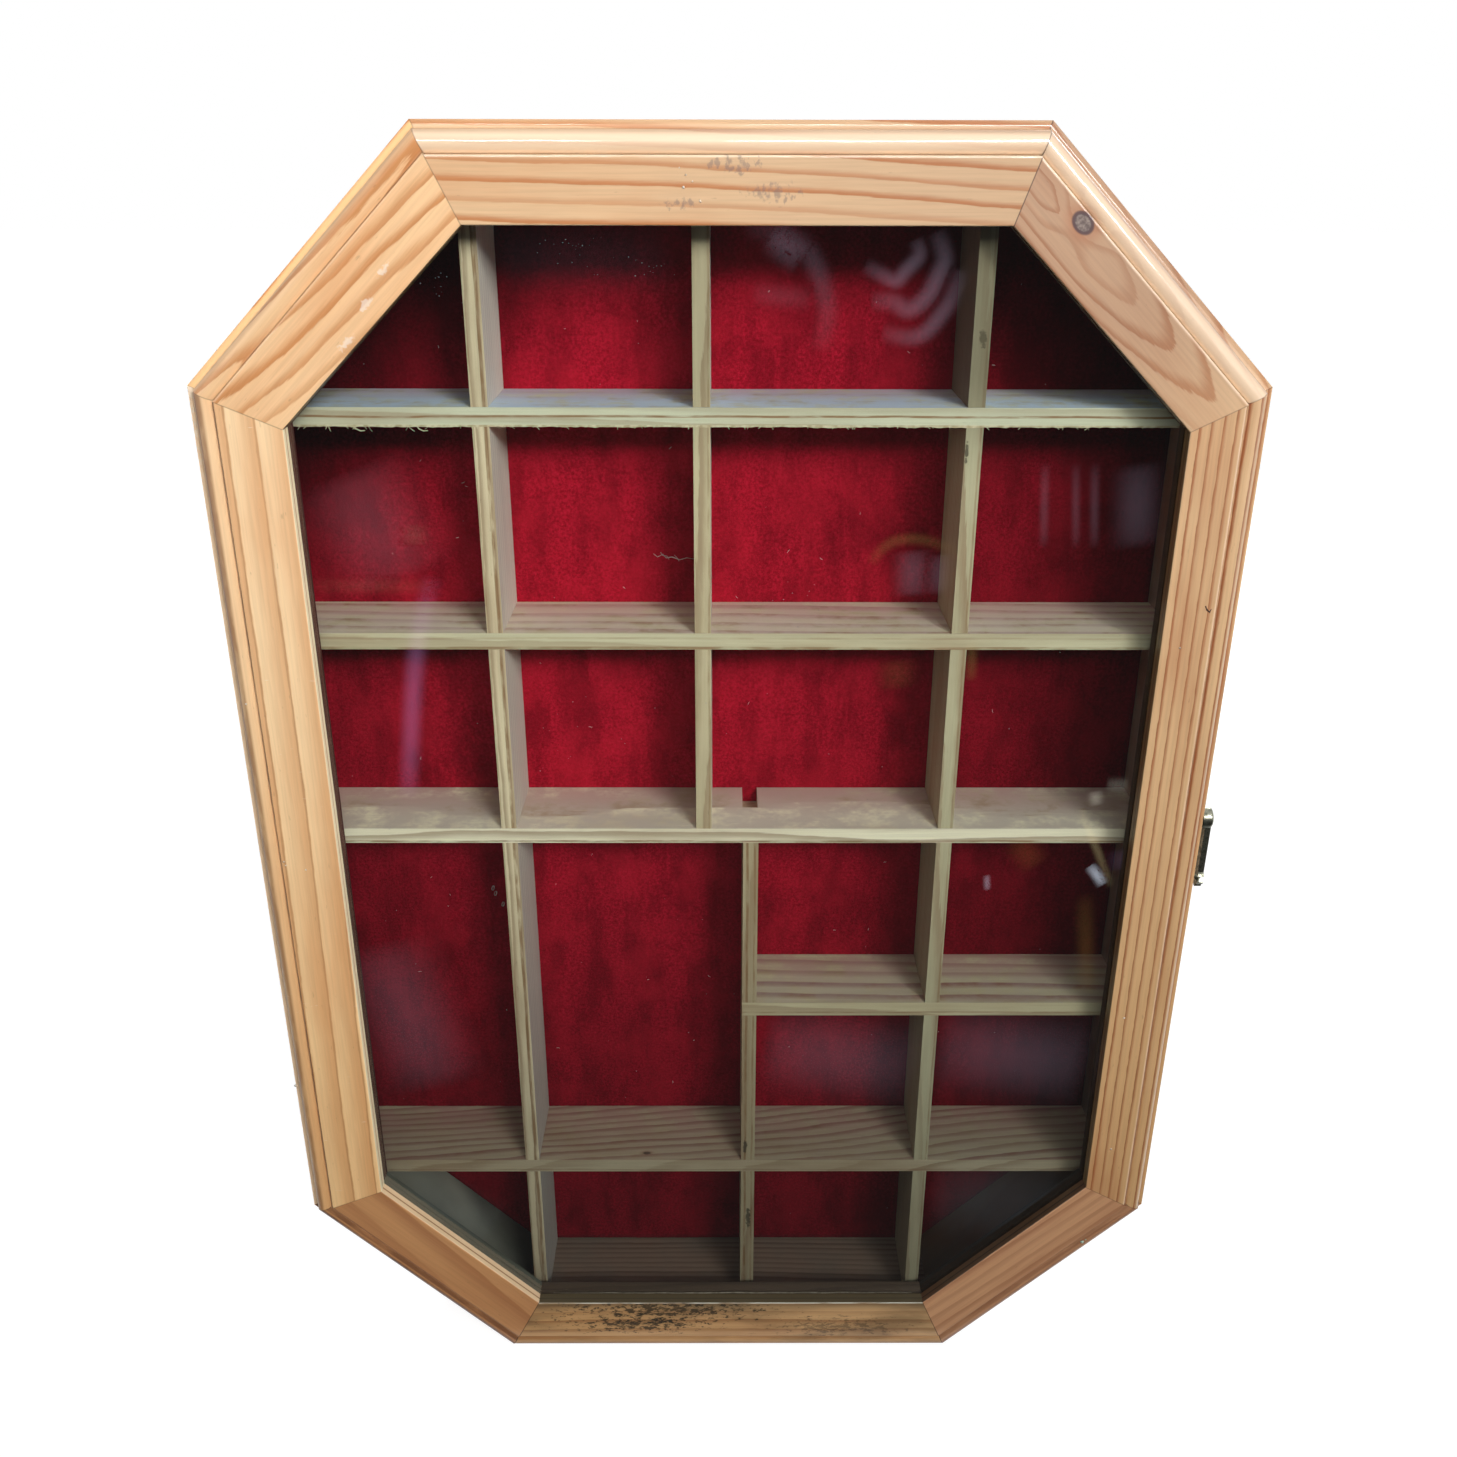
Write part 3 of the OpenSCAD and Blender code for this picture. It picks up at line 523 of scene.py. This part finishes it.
def felt_material():
    g = Graph("red_felt")
    place = g.coords()
    nap = g.noise(place, 700, 4, 0.75)
    brushed = g.noise(g.stretch(place, (75, 60, 26)), 1, 5, 0.65)
    cloud = g.noise(place, 34, 5, 0.6)
    colour = g.mix(g.smooth(nap, 0.28, 0.76), rgb(128, 9, 24), rgb(196, 26, 54))
    colour = g.paint(colour, (104, 6, 20), g.smooth(brushed, 0.38, 0.66, 0.0, 0.62))
    colour = g.paint(colour, (196, 30, 52), g.smooth(cloud, 0.4, 0.7, 0.0, 0.4))
    colour = deepen(g, colour, 0.37)
    # Painted shade where the frame shades the felt.
    for towards, reach, wide, level in (
            ((-0.7071, 0, 0.7071), 0.274, 0.080, 0.25), ((0.7071, 0, 0.7071), 0.2775, 0.070, 0.45),
            ((1, 0, 0), 0.1905, 0.200, 0.36), ((-1, 0, 0), 0.185, 0.090, 0.70), ((0, 0, 1), 0.282, 0.090, 0.75)):
        colour = g.dim(colour, g.smooth(g.dot(place, towards), reach - wide, reach, 1.0, level))
    fibre = g.noise(place, 1500, 3, 0.7)
    shader = g.principled(Base_Color=colour, Roughness=0.95, Specular_IOR_Level=0.0, Sheen_Weight=0.06,
                          Sheen_Roughness=0.45, Sheen_Tint=rgb(220, 90, 100),
                          Normal=g.bump(g.add(fibre, g.times(nap, 0.8)), 0.0003, 0.6))
    return g.output(shader)


def plain_material(name, pale, dark, scale=300.0, rough=0.7):
    """Two mottled tones for a small thing such as lint, paint or a fibre."""
    g = Graph(name)
    mottle = g.noise(g.coords(), scale, 3)
    colour = g.mix(g.smooth(mottle, 0.35, 0.65), rgb(*pale), rgb(*dark))
    return g.output(g.principled(Base_Color=colour, Roughness=rough))


def new_mesh(name, points, faces, material, smooth=False):
    mesh = bpy.data.meshes.new(name)
    mesh.from_pydata([tuple(p) for p in points], [], faces)
    mesh.validate()
    mesh.materials.append(material)
    if smooth:
        for polygon in mesh.polygons:
            polygon.use_smooth = True
    made = bpy.data.objects.new(name, mesh)
    bpy.context.collection.objects.link(made)
    return made


def felt_front(x, z):
    """Depth of the felt's face, in mm."""
    swell = noise.noise(Vector((x / 46, z / 46, 0.3))) * 0.22
    return -4.08 + swell + noise.noise(Vector((x / 9, z / 9, 7.1))) * 0.10


def felt_sheet(material):
    """The felt: one closed sheet over the panel, with the slight rise and fall of glued cloth."""
    # Half its width and height, x + z along a cut corner, and the depth of its back, in mm.
    half_w, half_h, corner, rear = 203.7, 298.7, 413.88, -3.21
    columns, rows = 120, 176
    front, back = [], []
    for row in range(rows + 1):
        z = -half_h + 2 * half_h * row / rows
        width = min(half_w, corner - abs(z))
        for column in range(columns + 1):
            x = -width + 2 * width * column / columns
            front.append((x * MM, felt_front(x, z) * MM, z * MM))
            back.append((x * MM, rear * MM, z * MM))
    across, count = columns + 1, len(front)
    faces = []
    for row in range(rows):
        for column in range(columns):
            a = row * across + column
            b, c, d = a + 1, a + across + 1, a + across
            faces.append((a, b, c, d))
            faces.append((a + count, d + count, c + count, b + count))
    for row in range(rows):
        low, high = row * across + columns, (row + 1) * across + columns
        faces.append((low, low + count, high + count, high))
    for row in range(rows):
        low, high = row * across, (row + 1) * across
        faces.append((low, high, high + count, low + count))
    for column in range(columns):
        faces.append((column, column + count, column + 1 + count, column + 1))
        top = rows * across + column
        faces.append((top, top + 1, top + 1 + count, top + count))
    sheet = new_mesh("felt_sheet", front + back, faces, material, smooth=True)
    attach(sheet, "case")
    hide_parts("felt_lining")


def trim(body, slot, *mesh, smooth=True):
    """A small piece of the scene alone, which rides on that body."""
    made = new_mesh(*mesh, smooth=smooth)
    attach(made, body)


def tubes(name, strands, material, body, slot, sides=5):
    """Fine threads as one mesh. Each strand is a list of points in mm and a radius, which thins towards both ends."""
    points, faces = [], []
    for path, radius in strands:
        path = [Vector(place) for place in path]
        last = len(path) - 1
        start = len(points)
        for index, place in enumerate(path):
            ahead = (path[min(index + 1, last)] - path[max(index - 1, 0)]).normalized()
            side = ahead.cross(Vector((0.31, 1.0, 0.23))).normalized()
            other = ahead.cross(side)
            size = radius * (0.35 + 0.65 * math.sin(math.pi * (index + 0.5) / (last + 1)))
            for k in range(sides):
                angle = 2 * math.pi * k / sides
                points.append((place + (side * math.cos(angle) + other * math.sin(angle)) * size) * MM)
        for index in range(last):
            for k in range(sides):
                a, following = start + index * sides, (k + 1) % sides
                faces.append((a + k, a + following, a + sides + following, a + sides + k))
        faces.append(tuple(start + k for k in reversed(range(sides))))
        faces.append(tuple(start + last * sides + k for k in range(sides)))
    trim(body, slot, name, points, faces, material)


def flakes(name, spots, material, body, slot, seed, facing=-1):
    """Low irregular domes on a face that looks along -Y, or +Y with facing 1: (x, y, z, radius, height) in mm."""
    draw = random.Random(seed)
    points, faces = [], []
    for x, y, z, radius, height in spots:
        start, around = len(points), 8
        points.append((x * MM, (y + facing * height) * MM, z * MM))
        points.append((x * MM, (y - facing * 0.05) * MM, z * MM))
        turn = draw.random() * math.pi
        for k in range(around):
            angle = turn - facing * 2 * math.pi * k / around
            reach = radius * draw.uniform(0.72, 1.1) if seed else radius
            points.append(((x + reach * math.cos(angle)) * MM, y * MM, (z + reach * math.sin(angle)) * MM))
        for k in range(around):
            a, b = start + 2 + k, start + 2 + (k + 1) % around
            faces.append((start, a, b))
            faces.append((start + 1, b, a))
    trim(body, slot, name, points, faces, material)


def small_things():
    """What age left on the case: torn fibres, lint and a thread, dust on the pane, glue, chips and nail heads."""
    draw = random.Random(11)
    fibre = plain_material("torn_fibre", (214, 206, 172), (178, 164, 128))
    white = plain_material("lint", (222, 210, 208), (176, 154, 154))
    nail = plain_material("nail_head", (128, 122, 112), (84, 76, 66), scale=900.0, rough=0.45)
    (shelf_left, _, under), (shelf_right, _, _) = [[c / MM for c in corner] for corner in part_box("shelf_a")]
    torn = []
    for index in range(95):
        x = draw.uniform(-188, 188)
        y = -49.35 + draw.uniform(-0.05, 0.25)
        length = draw.uniform(0.5, 2.6) * (1.5 if x < -120 else 1.0)
        lean = draw.uniform(-1.6, 1.6)
        path = [(x + lean * t * length * 0.6, y - 0.25 * t, under + 0.3 - length * t * (1 - 0.25 * t))
                for t in (0, 0.4, 0.75, 1)]
        torn.append((path, draw.uniform(0.10, 0.22)))
    for x in (-159.8, -132.9):
        torn.append(([(x - 1.4, -49.5, under + 0.2), (x - 0.4, -49.7, under - 1.3), (x + 1.6, -49.9, under - 2.2),
                      (x + 3.4, -49.8, under - 2.0)], 0.28))
    tubes("torn_fibres", torn, fibre, "case", "bare_pine")

    # Splintered saw edge along the underside of the top shelf.
    steps, left, right = 260, shelf_left + 2.0, shelf_right - 2.0
    points, faces = [], []
    for index in range(steps + 1):
        x = left + (right - left) * index / steps
        drop = 0.25 + 0.55 * max(0.0, noise.noise(Vector((x / 7, 0.5, 0.0)))) + draw.uniform(0, 0.35)
        for y, z in ((-49.62, 0.4), (-49.55, -drop), (-49.20, -drop * 0.8), (-49.20, 0.4)):
            points.append((x * MM, y * MM, (under + z) * MM))
    for index in range(steps):
        a = index * 4
        for k in range(4):
            b = (k + 1) % 4
            faces.append((a + k, a + b, a + 4 + b, a + 4 + k))
    faces.append((3, 2, 1, 0))
    faces.append(tuple(steps * 4 + k for k in range(4)))
    trim("case", "bare_pine", "splintered_edge", points, faces, fibre, smooth=False)

    def on_felt(path, lift=0.12):
        return [(x, felt_front(x, z) - lift, z) for x, z in path]

    # The white thread and its two frayed ends, three tufts, and lint all over.
    lint = [(on_felt([(-36.5, 130.2), (-34.5, 128.6), (-32.0, 130.0), (-30.5, 128.2), (-27.5, 128.6), (-24.0, 127.2),
                      (-20.5, 128.2), (-17.0, 127.6)]), 0.22),
            (on_felt([(-33.0, 131.0), (-32.2, 129.4), (-30.0, 129.0), (-29.0, 127.4)]), 0.18),
            (on_felt([(-26.5, 129.6), (-25.0, 128.0), (-24.2, 126.4)]), 0.15)]
    for x, z in ((-125.7, -54.3), (-121.0, -64.2), (-124.6, -57.5)):
        for turn in range(5):
            start = turn * 1.3
            path = [(x + 1.1 * math.cos(start + t) * (0.4 + 0.2 * t), z + 1.4 * math.sin(start + t * 1.4))
                    for t in (0, 0.6, 1.2, 1.8)]
            lint.append((on_felt(path, 0.3), 0.24))
    for index in range(70):
        x, z = draw.uniform(-180, 180), draw.uniform(-190, 270)
        if abs(x) + abs(z) > 380:
            continue
        angle, length = draw.uniform(0, math.pi), draw.uniform(0.6, 2.0)
        bend = draw.uniform(-0.5, 0.5)
        path = [(x + length * t * math.cos(angle + bend * t), z + length * t * math.sin(angle + bend * t))
                for t in (0, 0.35, 0.7, 1)]
        lint.append((on_felt(path), draw.uniform(0.06, 0.11)))
    tubes("lint_and_thread", lint, white, "case", "red_felt")

    # Dust on the pane: a little all over, and more at seven places (x, z, spread, count).
    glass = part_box("glass_pane")[0][1] / MM
    dust = []
    for index in range(90):
        x, z = draw.uniform(-176, 176), draw.uniform(-240, 276)
        if abs(x) + abs(z) < 380:
            dust.append((x, glass, z, draw.uniform(0.08, 0.22), 0.05))
    for x, z, spread, count in ((-62, 272, 14, 16), (-33, 266, 7, 14), (-60, 274, 5, 8), (-121, 262, 10, 14),
                                (-185, 196, 3, 5), (30, 118, 20, 14), (-60, 60, 30, 12)):
        for index in range(count):
            px, pz = draw.gauss(x, spread * 0.6), draw.gauss(z, spread * 0.4)
            if pz < 280 and abs(px) + abs(pz) < 385 and abs(px) < 183:
                dust.append((px, glass, pz, draw.uniform(0.08, 0.26), 0.06))
    flakes("pane_dust", dust, plain_material("dust", (150, 148, 156), (112, 110, 118)), "door", "clear_glass", 5)

    glue = [(x, glass - 0.05, -281.3 + 0.5 * noise.noise(Vector((x / 12, 0.2, 3.0)))) for x in range(-98, 104, 3)]
    dried = plain_material("dried_glue", (120, 114, 98), (90, 84, 70))
    tubes("glue_line", [(glue, 0.35)], dried, "door", "clear_glass")

    # Chips, a fleck of paint and a nick. behind is how far the moulding falls back from the door's front there.
    face = DOOR_FRONT / MM
    chips = [(x, face + behind, z, radius, height) for x, behind, z, radius, height in (
        (-211.0, 0, -1.4, 0.6, 0.1), (-210.4, 0, -3.4, 0.4, 0.1), (-201.1, 0, -5.7, 0.5, 0.1),
        (-217.8, 0.85, 79.2, 0.5, 0.1), (199.1, 0, 106.8, 0.5, 0.12), (197.9, 0, -90.7, 0.6, 0.12),
        (201.0, 0, -173.8, 0.6, 0.12), (-222.3, 1.2, -133.2, 0.9, 0.2), (-20.0, 0, 303.0, 0.35, 0.1),
        (-17.5, 0, 300.5, 0.5, 0.1), (-15.0, 0, 298.2, 0.4, 0.1), (-18.5, 0, 296.0, 0.6, 0.1),
        (-12.0, 0, 291.0, 0.7, 0.1))]
    bare = plain_material("bare_chip", (250, 240, 224), (228, 206, 178))
    flakes("pale_chips", chips, bare, "door", "oiled_pine", 3)
    mint = [(192.9, face + 0.75, -238.6, 1.3, 0.25), (194.6, face + 0.75, -236.9, 0.6, 0.2)]
    paint = plain_material("mint_paint", (202, 226, 206), (168, 204, 178))
    flakes("paint_fleck", mint, paint, "door", "oiled_pine", 9)
    nick = [(207.6, face + 0.02, 126.3), (208.6, face - 0.03, 124.5), (209.8, face - 0.03, 123.6),
            (210.4, face + 0.02, 124.9)]
    tubes("dark_nick", [(nick, 0.45)], plain_material("nick", (84, 56, 40), (58, 38, 28)), "door", "oiled_pine")

    heads = []
    for letter in "abcde":
        low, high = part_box("shelf_" + letter)
        middle = (low[2] + high[2]) / 2 / MM
        span = (high[0] - low[0]) / MM
        for share in (0.06, 0.3, 0.5, 0.72, 0.94):
            heads.append((low[0] / MM + span * share + draw.uniform(-3, 3), -0.1, middle + draw.uniform(-0.8, 0.8),
                          1.5, 0.25))
    flakes("panel_nails", heads, nail, "case", "aged_brass", 0, facing=1)

    brads = []
    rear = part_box("strip_top")[1][1] / MM
    for edge in range(8):
        (ax, az), (bx, bz) = SIGHT[edge], SIGHT[(edge + 1) % 8]
        _, out = axes(edge)
        for share in (0.14, 0.5, 0.86):
            x, z = ax + (bx - ax) * share + out[0] * 4.5, az + (bz - az) * share + out[2] * 4.5
            brads.append((x, rear - 0.05, z, 0.8, 0.3))
    flakes("strip_brads", brads, nail, "door", "aged_brass", 0, facing=1)


# What the pane mirrors, as soft strokes: colour, strength, half width in mm, and points (x, z) on the pane in mm.
LILAC, WARM = (0.78, 0.60, 0.80), (0.62, 0.44, 0.12)
GLIMPSES = (
    ((0.75, 0.38, 0.85), 1.5, 5, ((-130, 138), (-139, 108), (-144, 79), (-148, 49), (-151, 28))),
    ((1.00, 0.38, 0.50), 0.8, 24, ((-163, 184), (-143, 134))),
    ((1.00, 0.50, 0.30), 0.5, 6, ((-136, 161), (-136, 151))),
    ((1.00, 0.50, 0.32), 0.35, 4, ((-184, 133), (-128, 133))),
    (LILAC, 1.2, 3.6, ((53, 267), (61, 263), (66, 261), (70, 265), (75, 271), (73, 277))),
    (LILAC, 1.2, 4.2, ((56, 253), (65, 253), (72, 250), (79, 255), (83, 263), (85, 270), (81, 280))),
    (LILAC, 1.1, 4.0, ((61, 241), (72, 239), (79, 241), (85, 248), (89, 255), (92, 266))),
    (LILAC, 0.5, 5, ((5, 282), (26, 276), (33, 268), (37, 258), (39, 247), (36, 233))),
    (LILAC, 0.8, 7, ((15, 279), (29, 269))),
    (LILAC, 0.3, 5, ((8, 256), (33, 254))),
    (LILAC, 0.55, 10, ((172, 188), (176, 150))),
    (LILAC, 0.5, 2.4, ((133, 188), (136, 150))), (LILAC, 0.45, 2.2, ((146, 188), (150, 150))),
    (LILAC, 0.45, 2.4, ((154, 188), (158, 150))),
    (WARM, 0.8, 3, ((61, 143), (66, 150), (73, 154), (84, 154), (99, 149))),
    (LILAC, 0.75, 8, ((79, 150), (80, 128))), (LILAC, 0.6, 5, ((91, 148), (91, 129))),
    (WARM, 0.9, 3, ((108, 108), (109, 88))), (WARM, 0.35, 9, ((74, 99), (76, 84))),
    ((0.95, 0.90, 0.75), 1.8, 3.6, ((171, 33), (173, 25))), ((0.90, 0.90, 0.75), 0.8, 4, ((176, 36), (187, 36))),
    ((0.90, 0.72, 0.36), 1.2, 2.4, ((165, 24), (175, 3), (185, -19))),
    ((0.78, 0.86, 1.00), 4.5, 3, ((173, -7), (177, -12), (181, -18))),
    ((0.80, 0.80, 1.00), 2.0, 1.8, ((124, -12), (125, -21))), ((0.62, 0.22, 0.05), 0.7, 8, ((136, 8), (148, -8))),
    ((0.62, 0.30, 0.06), 0.6, 5, ((172, -22), (180, -82))), ((0.40, 0.25, 0.50), 0.5, 6, ((186, 2), (188, -10))),
    (LILAC, 0.46, 24, ((-172, -50), (-150, -140))), (LILAC, 0.55, 26, ((104, -112), (186, -124))),
    (LILAC, 0.50, 26, ((16, -112), (98, -126))), (LILAC, 0.10, 13, ((-96, 268), (-22, 268))),
    ((0.60, 0.70, 0.80), 0.22, 30, ((108, -212), (180, -214))),
    ((0.50, 0.70, 0.75), 0.20, 20, ((-176, -206), (-128, -238))),
)


def glimpses(eye, ground, wall):
    """Soft lights on the floor and on the wall behind the camera, each where the pane mirrors it to that place."""
    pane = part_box("glass_pane")[0][1]

    def seen_at(x, z):
        step = Vector((x * MM - eye.x, eye.y - pane, z * MM - eye.z))
        reach = (wall - pane) / step.y
        if step.z < 0:
            reach = min(reach, (ground - z * MM) / step.z)
        return Vector((x * MM, pane, z * MM)) + step * reach

    points, faces, glow = [], [], []
    profile = [(t / 4, 0.5 + 0.5 * math.cos(math.pi * t / 4)) for t in range(-4, 5)]
    for colour, strength, half, stroke in GLIMPSES:
        knots = [Vector(place) for place in (stroke[0], *stroke, stroke[-1])]
        path = []
        for a, b, c, d in zip(knots, knots[1:], knots[2:], knots[3:]):
            for t in (0.0, 0.17, 0.33, 0.5, 0.67, 0.83):
                path.append(b + 0.5 * t * ((c - a) + t * (2 * a - 5 * b + 4 * c - d + t * (3 * (b - c) + d - a))))
        path.append(knots[-1])
        last = len(path) - 1
        for index, (x, z) in enumerate(path):
            (ax, az), (bx, bz) = path[max(index - 1, 0)], path[min(index + 1, last)]
            length = math.hypot(bx - ax, bz - az)
            nx, nz = -(bz - az) / length, (bx - ax) / length
            fade = math.sin(math.pi * index / last) ** 0.7
            for across, level in profile:
                points.append(seen_at(x + nx * across * half * 1.3, z + nz * across * half * 1.3))
                glow.append([c * strength * level * fade for c in colour])
            if index:
                for k in range(len(profile) - 1):
                    a = len(points) - len(profile) + k
                    faces.append((a, a + 1, a + 1 - len(profile), a - len(profile)))
    g = Graph("glimpse")
    tone = g.node("Attribute", attribute_name="glow").outputs["Color"]
    shine = g.node("Emission", {"Color": tone, "Strength": 1.0}).outputs[0]
    clear = g.node("BsdfTransparent").outputs[0]
    made = new_mesh("glimpses", points, faces, g.output(g.node("AddShader", {0: clear, 1: shine}).outputs[0]))
    layer = made.data.color_attributes.new("glow", "FLOAT_COLOR", "POINT")
    for spot, tone in zip(layer.data, glow):
        spot.color = (*tone, 1.0)
    return made


def studio():
    """The camera, the world, the lamps, the pale floor, and the dark card and soft lights that the glass mirrors."""
    scene = bpy.context.scene
    data = bpy.data.cameras.new("camera")
    data.lens = 33.705
    data.sensor_width = 36
    camera = bpy.data.objects.new("camera", data)
    camera.location = (-0.003031, -0.636028, 0.317613)
    camera.rotation_euler = [math.radians(a) for a in (66.18, -0.118, -0.193)]
    scene.collection.objects.link(camera)
    scene.camera = camera
    scene.view_settings.view_transform = "Standard"

    g = Graph("studio", "worlds")
    fill = g.node("Background", {"Color": (0.93, 0.96, 1.0, 1), "Strength": 0.09}).outputs[0]
    white = g.node("Background", {"Color": (1, 1, 1, 1), "Strength": 1.0}).outputs[0]
    scene.world = g.output(g.node("MixShader", {0: g.shown(), 1: fill, 2: white}).outputs[0], "World")

    def lamp(name, place, target, power, size, size_y=None, colour=(1, 1, 1), spread=180):
        light = bpy.data.lights.new(name, "AREA")
        light.shape = "RECTANGLE"
        light.size, light.size_y = size, size_y or size
        light.energy = power
        light.color = colour
        light.spread = math.radians(spread)
        made = bpy.data.objects.new(name, light)
        made.location = place
        made.rotation_euler = (Vector(target) - Vector(place)).to_track_quat("-Z", "Y").to_euler()
        scene.collection.objects.link(made)

    lamp("key", (0.71, -1.57, 1.06), (-0.12, -0.07, 0.28), 2.7, 0.5, colour=(1.0, 0.97, 0.96), spread=54)
    lamp("overhead", (0.05, -0.62, 1.25), (0, -0.07, 0.2), 0.55, 1.1, 0.35, colour=(1.0, 0.98, 0.98))
    lamp("left_fill", (-1.25, -0.75, 0.55), (-0.1, -0.07, 0.1), 1.7, 0.8)
    lamp("rear", (0.9, 1.5, 0.9), (0, 0, 0), 22.0, 0.8)
    # Three windows high behind the camera, for the gloss along the moulding.
    lamp("window_left", (-0.33, -1.6, 0.84), (-0.05, -0.07, 0.30), 0.6, 0.25, 0.24, spread=90)
    lamp("window_middle", (0.25, -1.6, 0.86), (0.0, -0.07, 0.30), 1.1, 0.46, 0.24, spread=90)
    lamp("window_right", (1.16, -1.6, 0.86), (0.1, -0.07, 0.30), 1.7, 0.60, 0.24, spread=90)

    g = Graph("floor")
    far = g.node("VectorMath", {0: g.coords(), 1: (0.0, 0.0, 0.0)}, operation="DISTANCE").outputs["Value"]
    plain = g.node("BsdfDiffuse", {"Color": (0.25, 0.25, 0.25, 1)}).outputs[0]
    catch = g.node("BsdfDiffuse", {"Color": (0.24, 0.24, 0.24, 1)}).outputs[0]
    glow = g.node("Emission", {"Color": (1, 1, 1, 1), "Strength": g.smooth(far, 0.5, 1.2, 0.90, 1.0)}).outputs[0]
    lit = g.node("AddShader", {0: catch, 1: glow}).outputs[0]
    material = g.output(g.node("MixShader", {0: g.shown(), 1: plain, 2: lit}).outputs[0])
    ground = cad_box[0][2] - 0.0002
    corners = [(x, y, ground) for x, y in ((-9, -9), (9, -9), (9, 9), (-9, 9))]
    floor = new_mesh("floor", corners, [(0, 1, 2, 3)], material)

    # The card lies on the floor before the case and stands up behind the camera, and the soft lights lie on it.
    g = Graph("card")
    material = g.output(g.node("Emission", {"Color": (1, 1, 1, 1), "Strength": 0.06}).outputs[0])
    gap = 0.0006
    low, near, behind, wide, tall = ground + gap, -0.085, -2.3, 1.6, 1.0
    points = [(x, y, z) for y, z in ((near, low), (behind, low), (behind, tall)) for x in (-wide, wide)]
    card = new_mesh("dark_card", points, [(0, 1, 3, 2), (2, 3, 5, 4)], material)
    for unseen in (card, glimpses(camera.location, low + gap, behind + 0.002)):
        for ray in ("camera", "diffuse", "shadow", "transmission", "volume_scatter"):
            setattr(unseen, "visible_" + ray, False)


studio()

# Glazing strips painted dark as the shade they stand in: reddish on the left like the shaded felt, grey-green at the
# lower left and brown at the bottom like the boards beside them.
SHADED_STRIP_TONES = {"right": (58, 44, 32), "lower_right": (40, 30, 22), "bottom": (112, 94, 78), "lower_left": (124, 130, 118),
          "left": (86, 34, 32)}
for index, edge_name in enumerate(EDGES):
    material_on("door_%s_rail" % edge_name, rail_material(index))
    material_on("case_%s_board" % edge_name, board_material(index))
    pale = SHADED_STRIP_TONES.get(edge_name, (84, 70, 54))
    made = strip_material("glazing_pine_" + edge_name, *axes(index), index + STRIP_SEED, pale=pale,
                          late=tuple(0.74 * c for c in pale), side_light_and_tint=0.0)
    material_on("strip_" + edge_name, made)

# Shelf C's pale tone is raised as painted light, against the shade it stands in.
SHELVES = {
    "a": dict(pith=(-0.20, -0.1), gap=0.0070, warp=0.006, dust=0.9, dust_tone=(196, 218, 240),
              stripes=((204.2, 0.30, 0.9),), pale=(206, 210, 182)),
    "b": dict(pith=(-0.16, 0.02), gap=0.0090, warp=0.008, dust=0.55, dust_tone=(226, 214, 206),
              stripes=((98.9, 0.45, 0.7), (103.6, 0.3, 0.3)), rosy=0.9, pale=(208, 204, 170)),
    "c": dict(pith=(0.02, -0.3), gap=0.0080, warp=0.008, dust=0.9, dust_tone=(208, 200, 186),
              stripes=((-1.5, 0.35, 0.8),), rosy=0.3, pale=(250, 246, 216)),
    "d": dict(pith=(-0.22, -0.2), gap=0.0085, warp=0.006, dust=0.4, stripes=((-101.9, 0.3, 0.5),), rosy=0.9,
              pale=(214, 206, 168)),
    "e": dict(pith=(-0.19, -0.26), gap=0.0056, warp=0.010, tilt=(-0.13, 0.0), dust=0.15, stripes=((-205.6, 0.3, 0.4),),
              eyes=(((-44.8, -43.9), 1.3),), rosy=0.75, pale=(202, 190, 158)),
}
for index, (letter, sawing) in enumerate(SHELVES.items()):
    made = strip_material("shelf_pine_" + letter, (1, 0, 0), (0, 0, 1), index + SHELF_SEED, **sawing)
    material_on("shelf_" + letter, made)

# The partitions' pale tones are set apart as painted light and shade: palest on the left, darker on the right and
# darkest below.
DIVIDERS = {
    "left": dict(pale=(228, 216, 180), shaded=0.2, stripes=((-104.9, 0.55, 0.8), (-110.2, 0.25, 0.5))),
    "upper": dict(pale=(204, 194, 158), shaded=0.3, stripes=((-9.4, 0.3, 0.5),)),
    "lower": dict(pale=(186, 174, 140), stripes=((9.0, 0.4, 0.8), (12.6, 0.3, 0.6)),
                  knots=(((-239.4, 11.0), (8.0, 1.6)), ((-189.3, 9.0), (5.0, 1.2)))),
    "right": dict(pale=(196, 192, 158), shaded=0.7, left_face_shade=0.85, stripes=((107.6, 0.25, 0.5),),
                  knots=(((236.2, 105.4), (4.0, 1.8)), ((189.0, 102.0), (5.0, 0.9)))),
}
for index, (part, sawing) in enumerate(DIVIDERS.items()):
    made = strip_material("divider_pine_" + part, (0, 0, 1), (1, 0, 0), index + DIVIDER_SEED, **sawing)
    material_on("divider_" + part, made)

material_on("back_panel", hardboard_material())
material_on("glass_pane", glass_material())
brass = brass_material()
for name in nodes:
    if name.startswith(("hinge_", "catch_", "latch_")):
        material_on(name, brass)
felt_sheet(felt_material())
small_things()
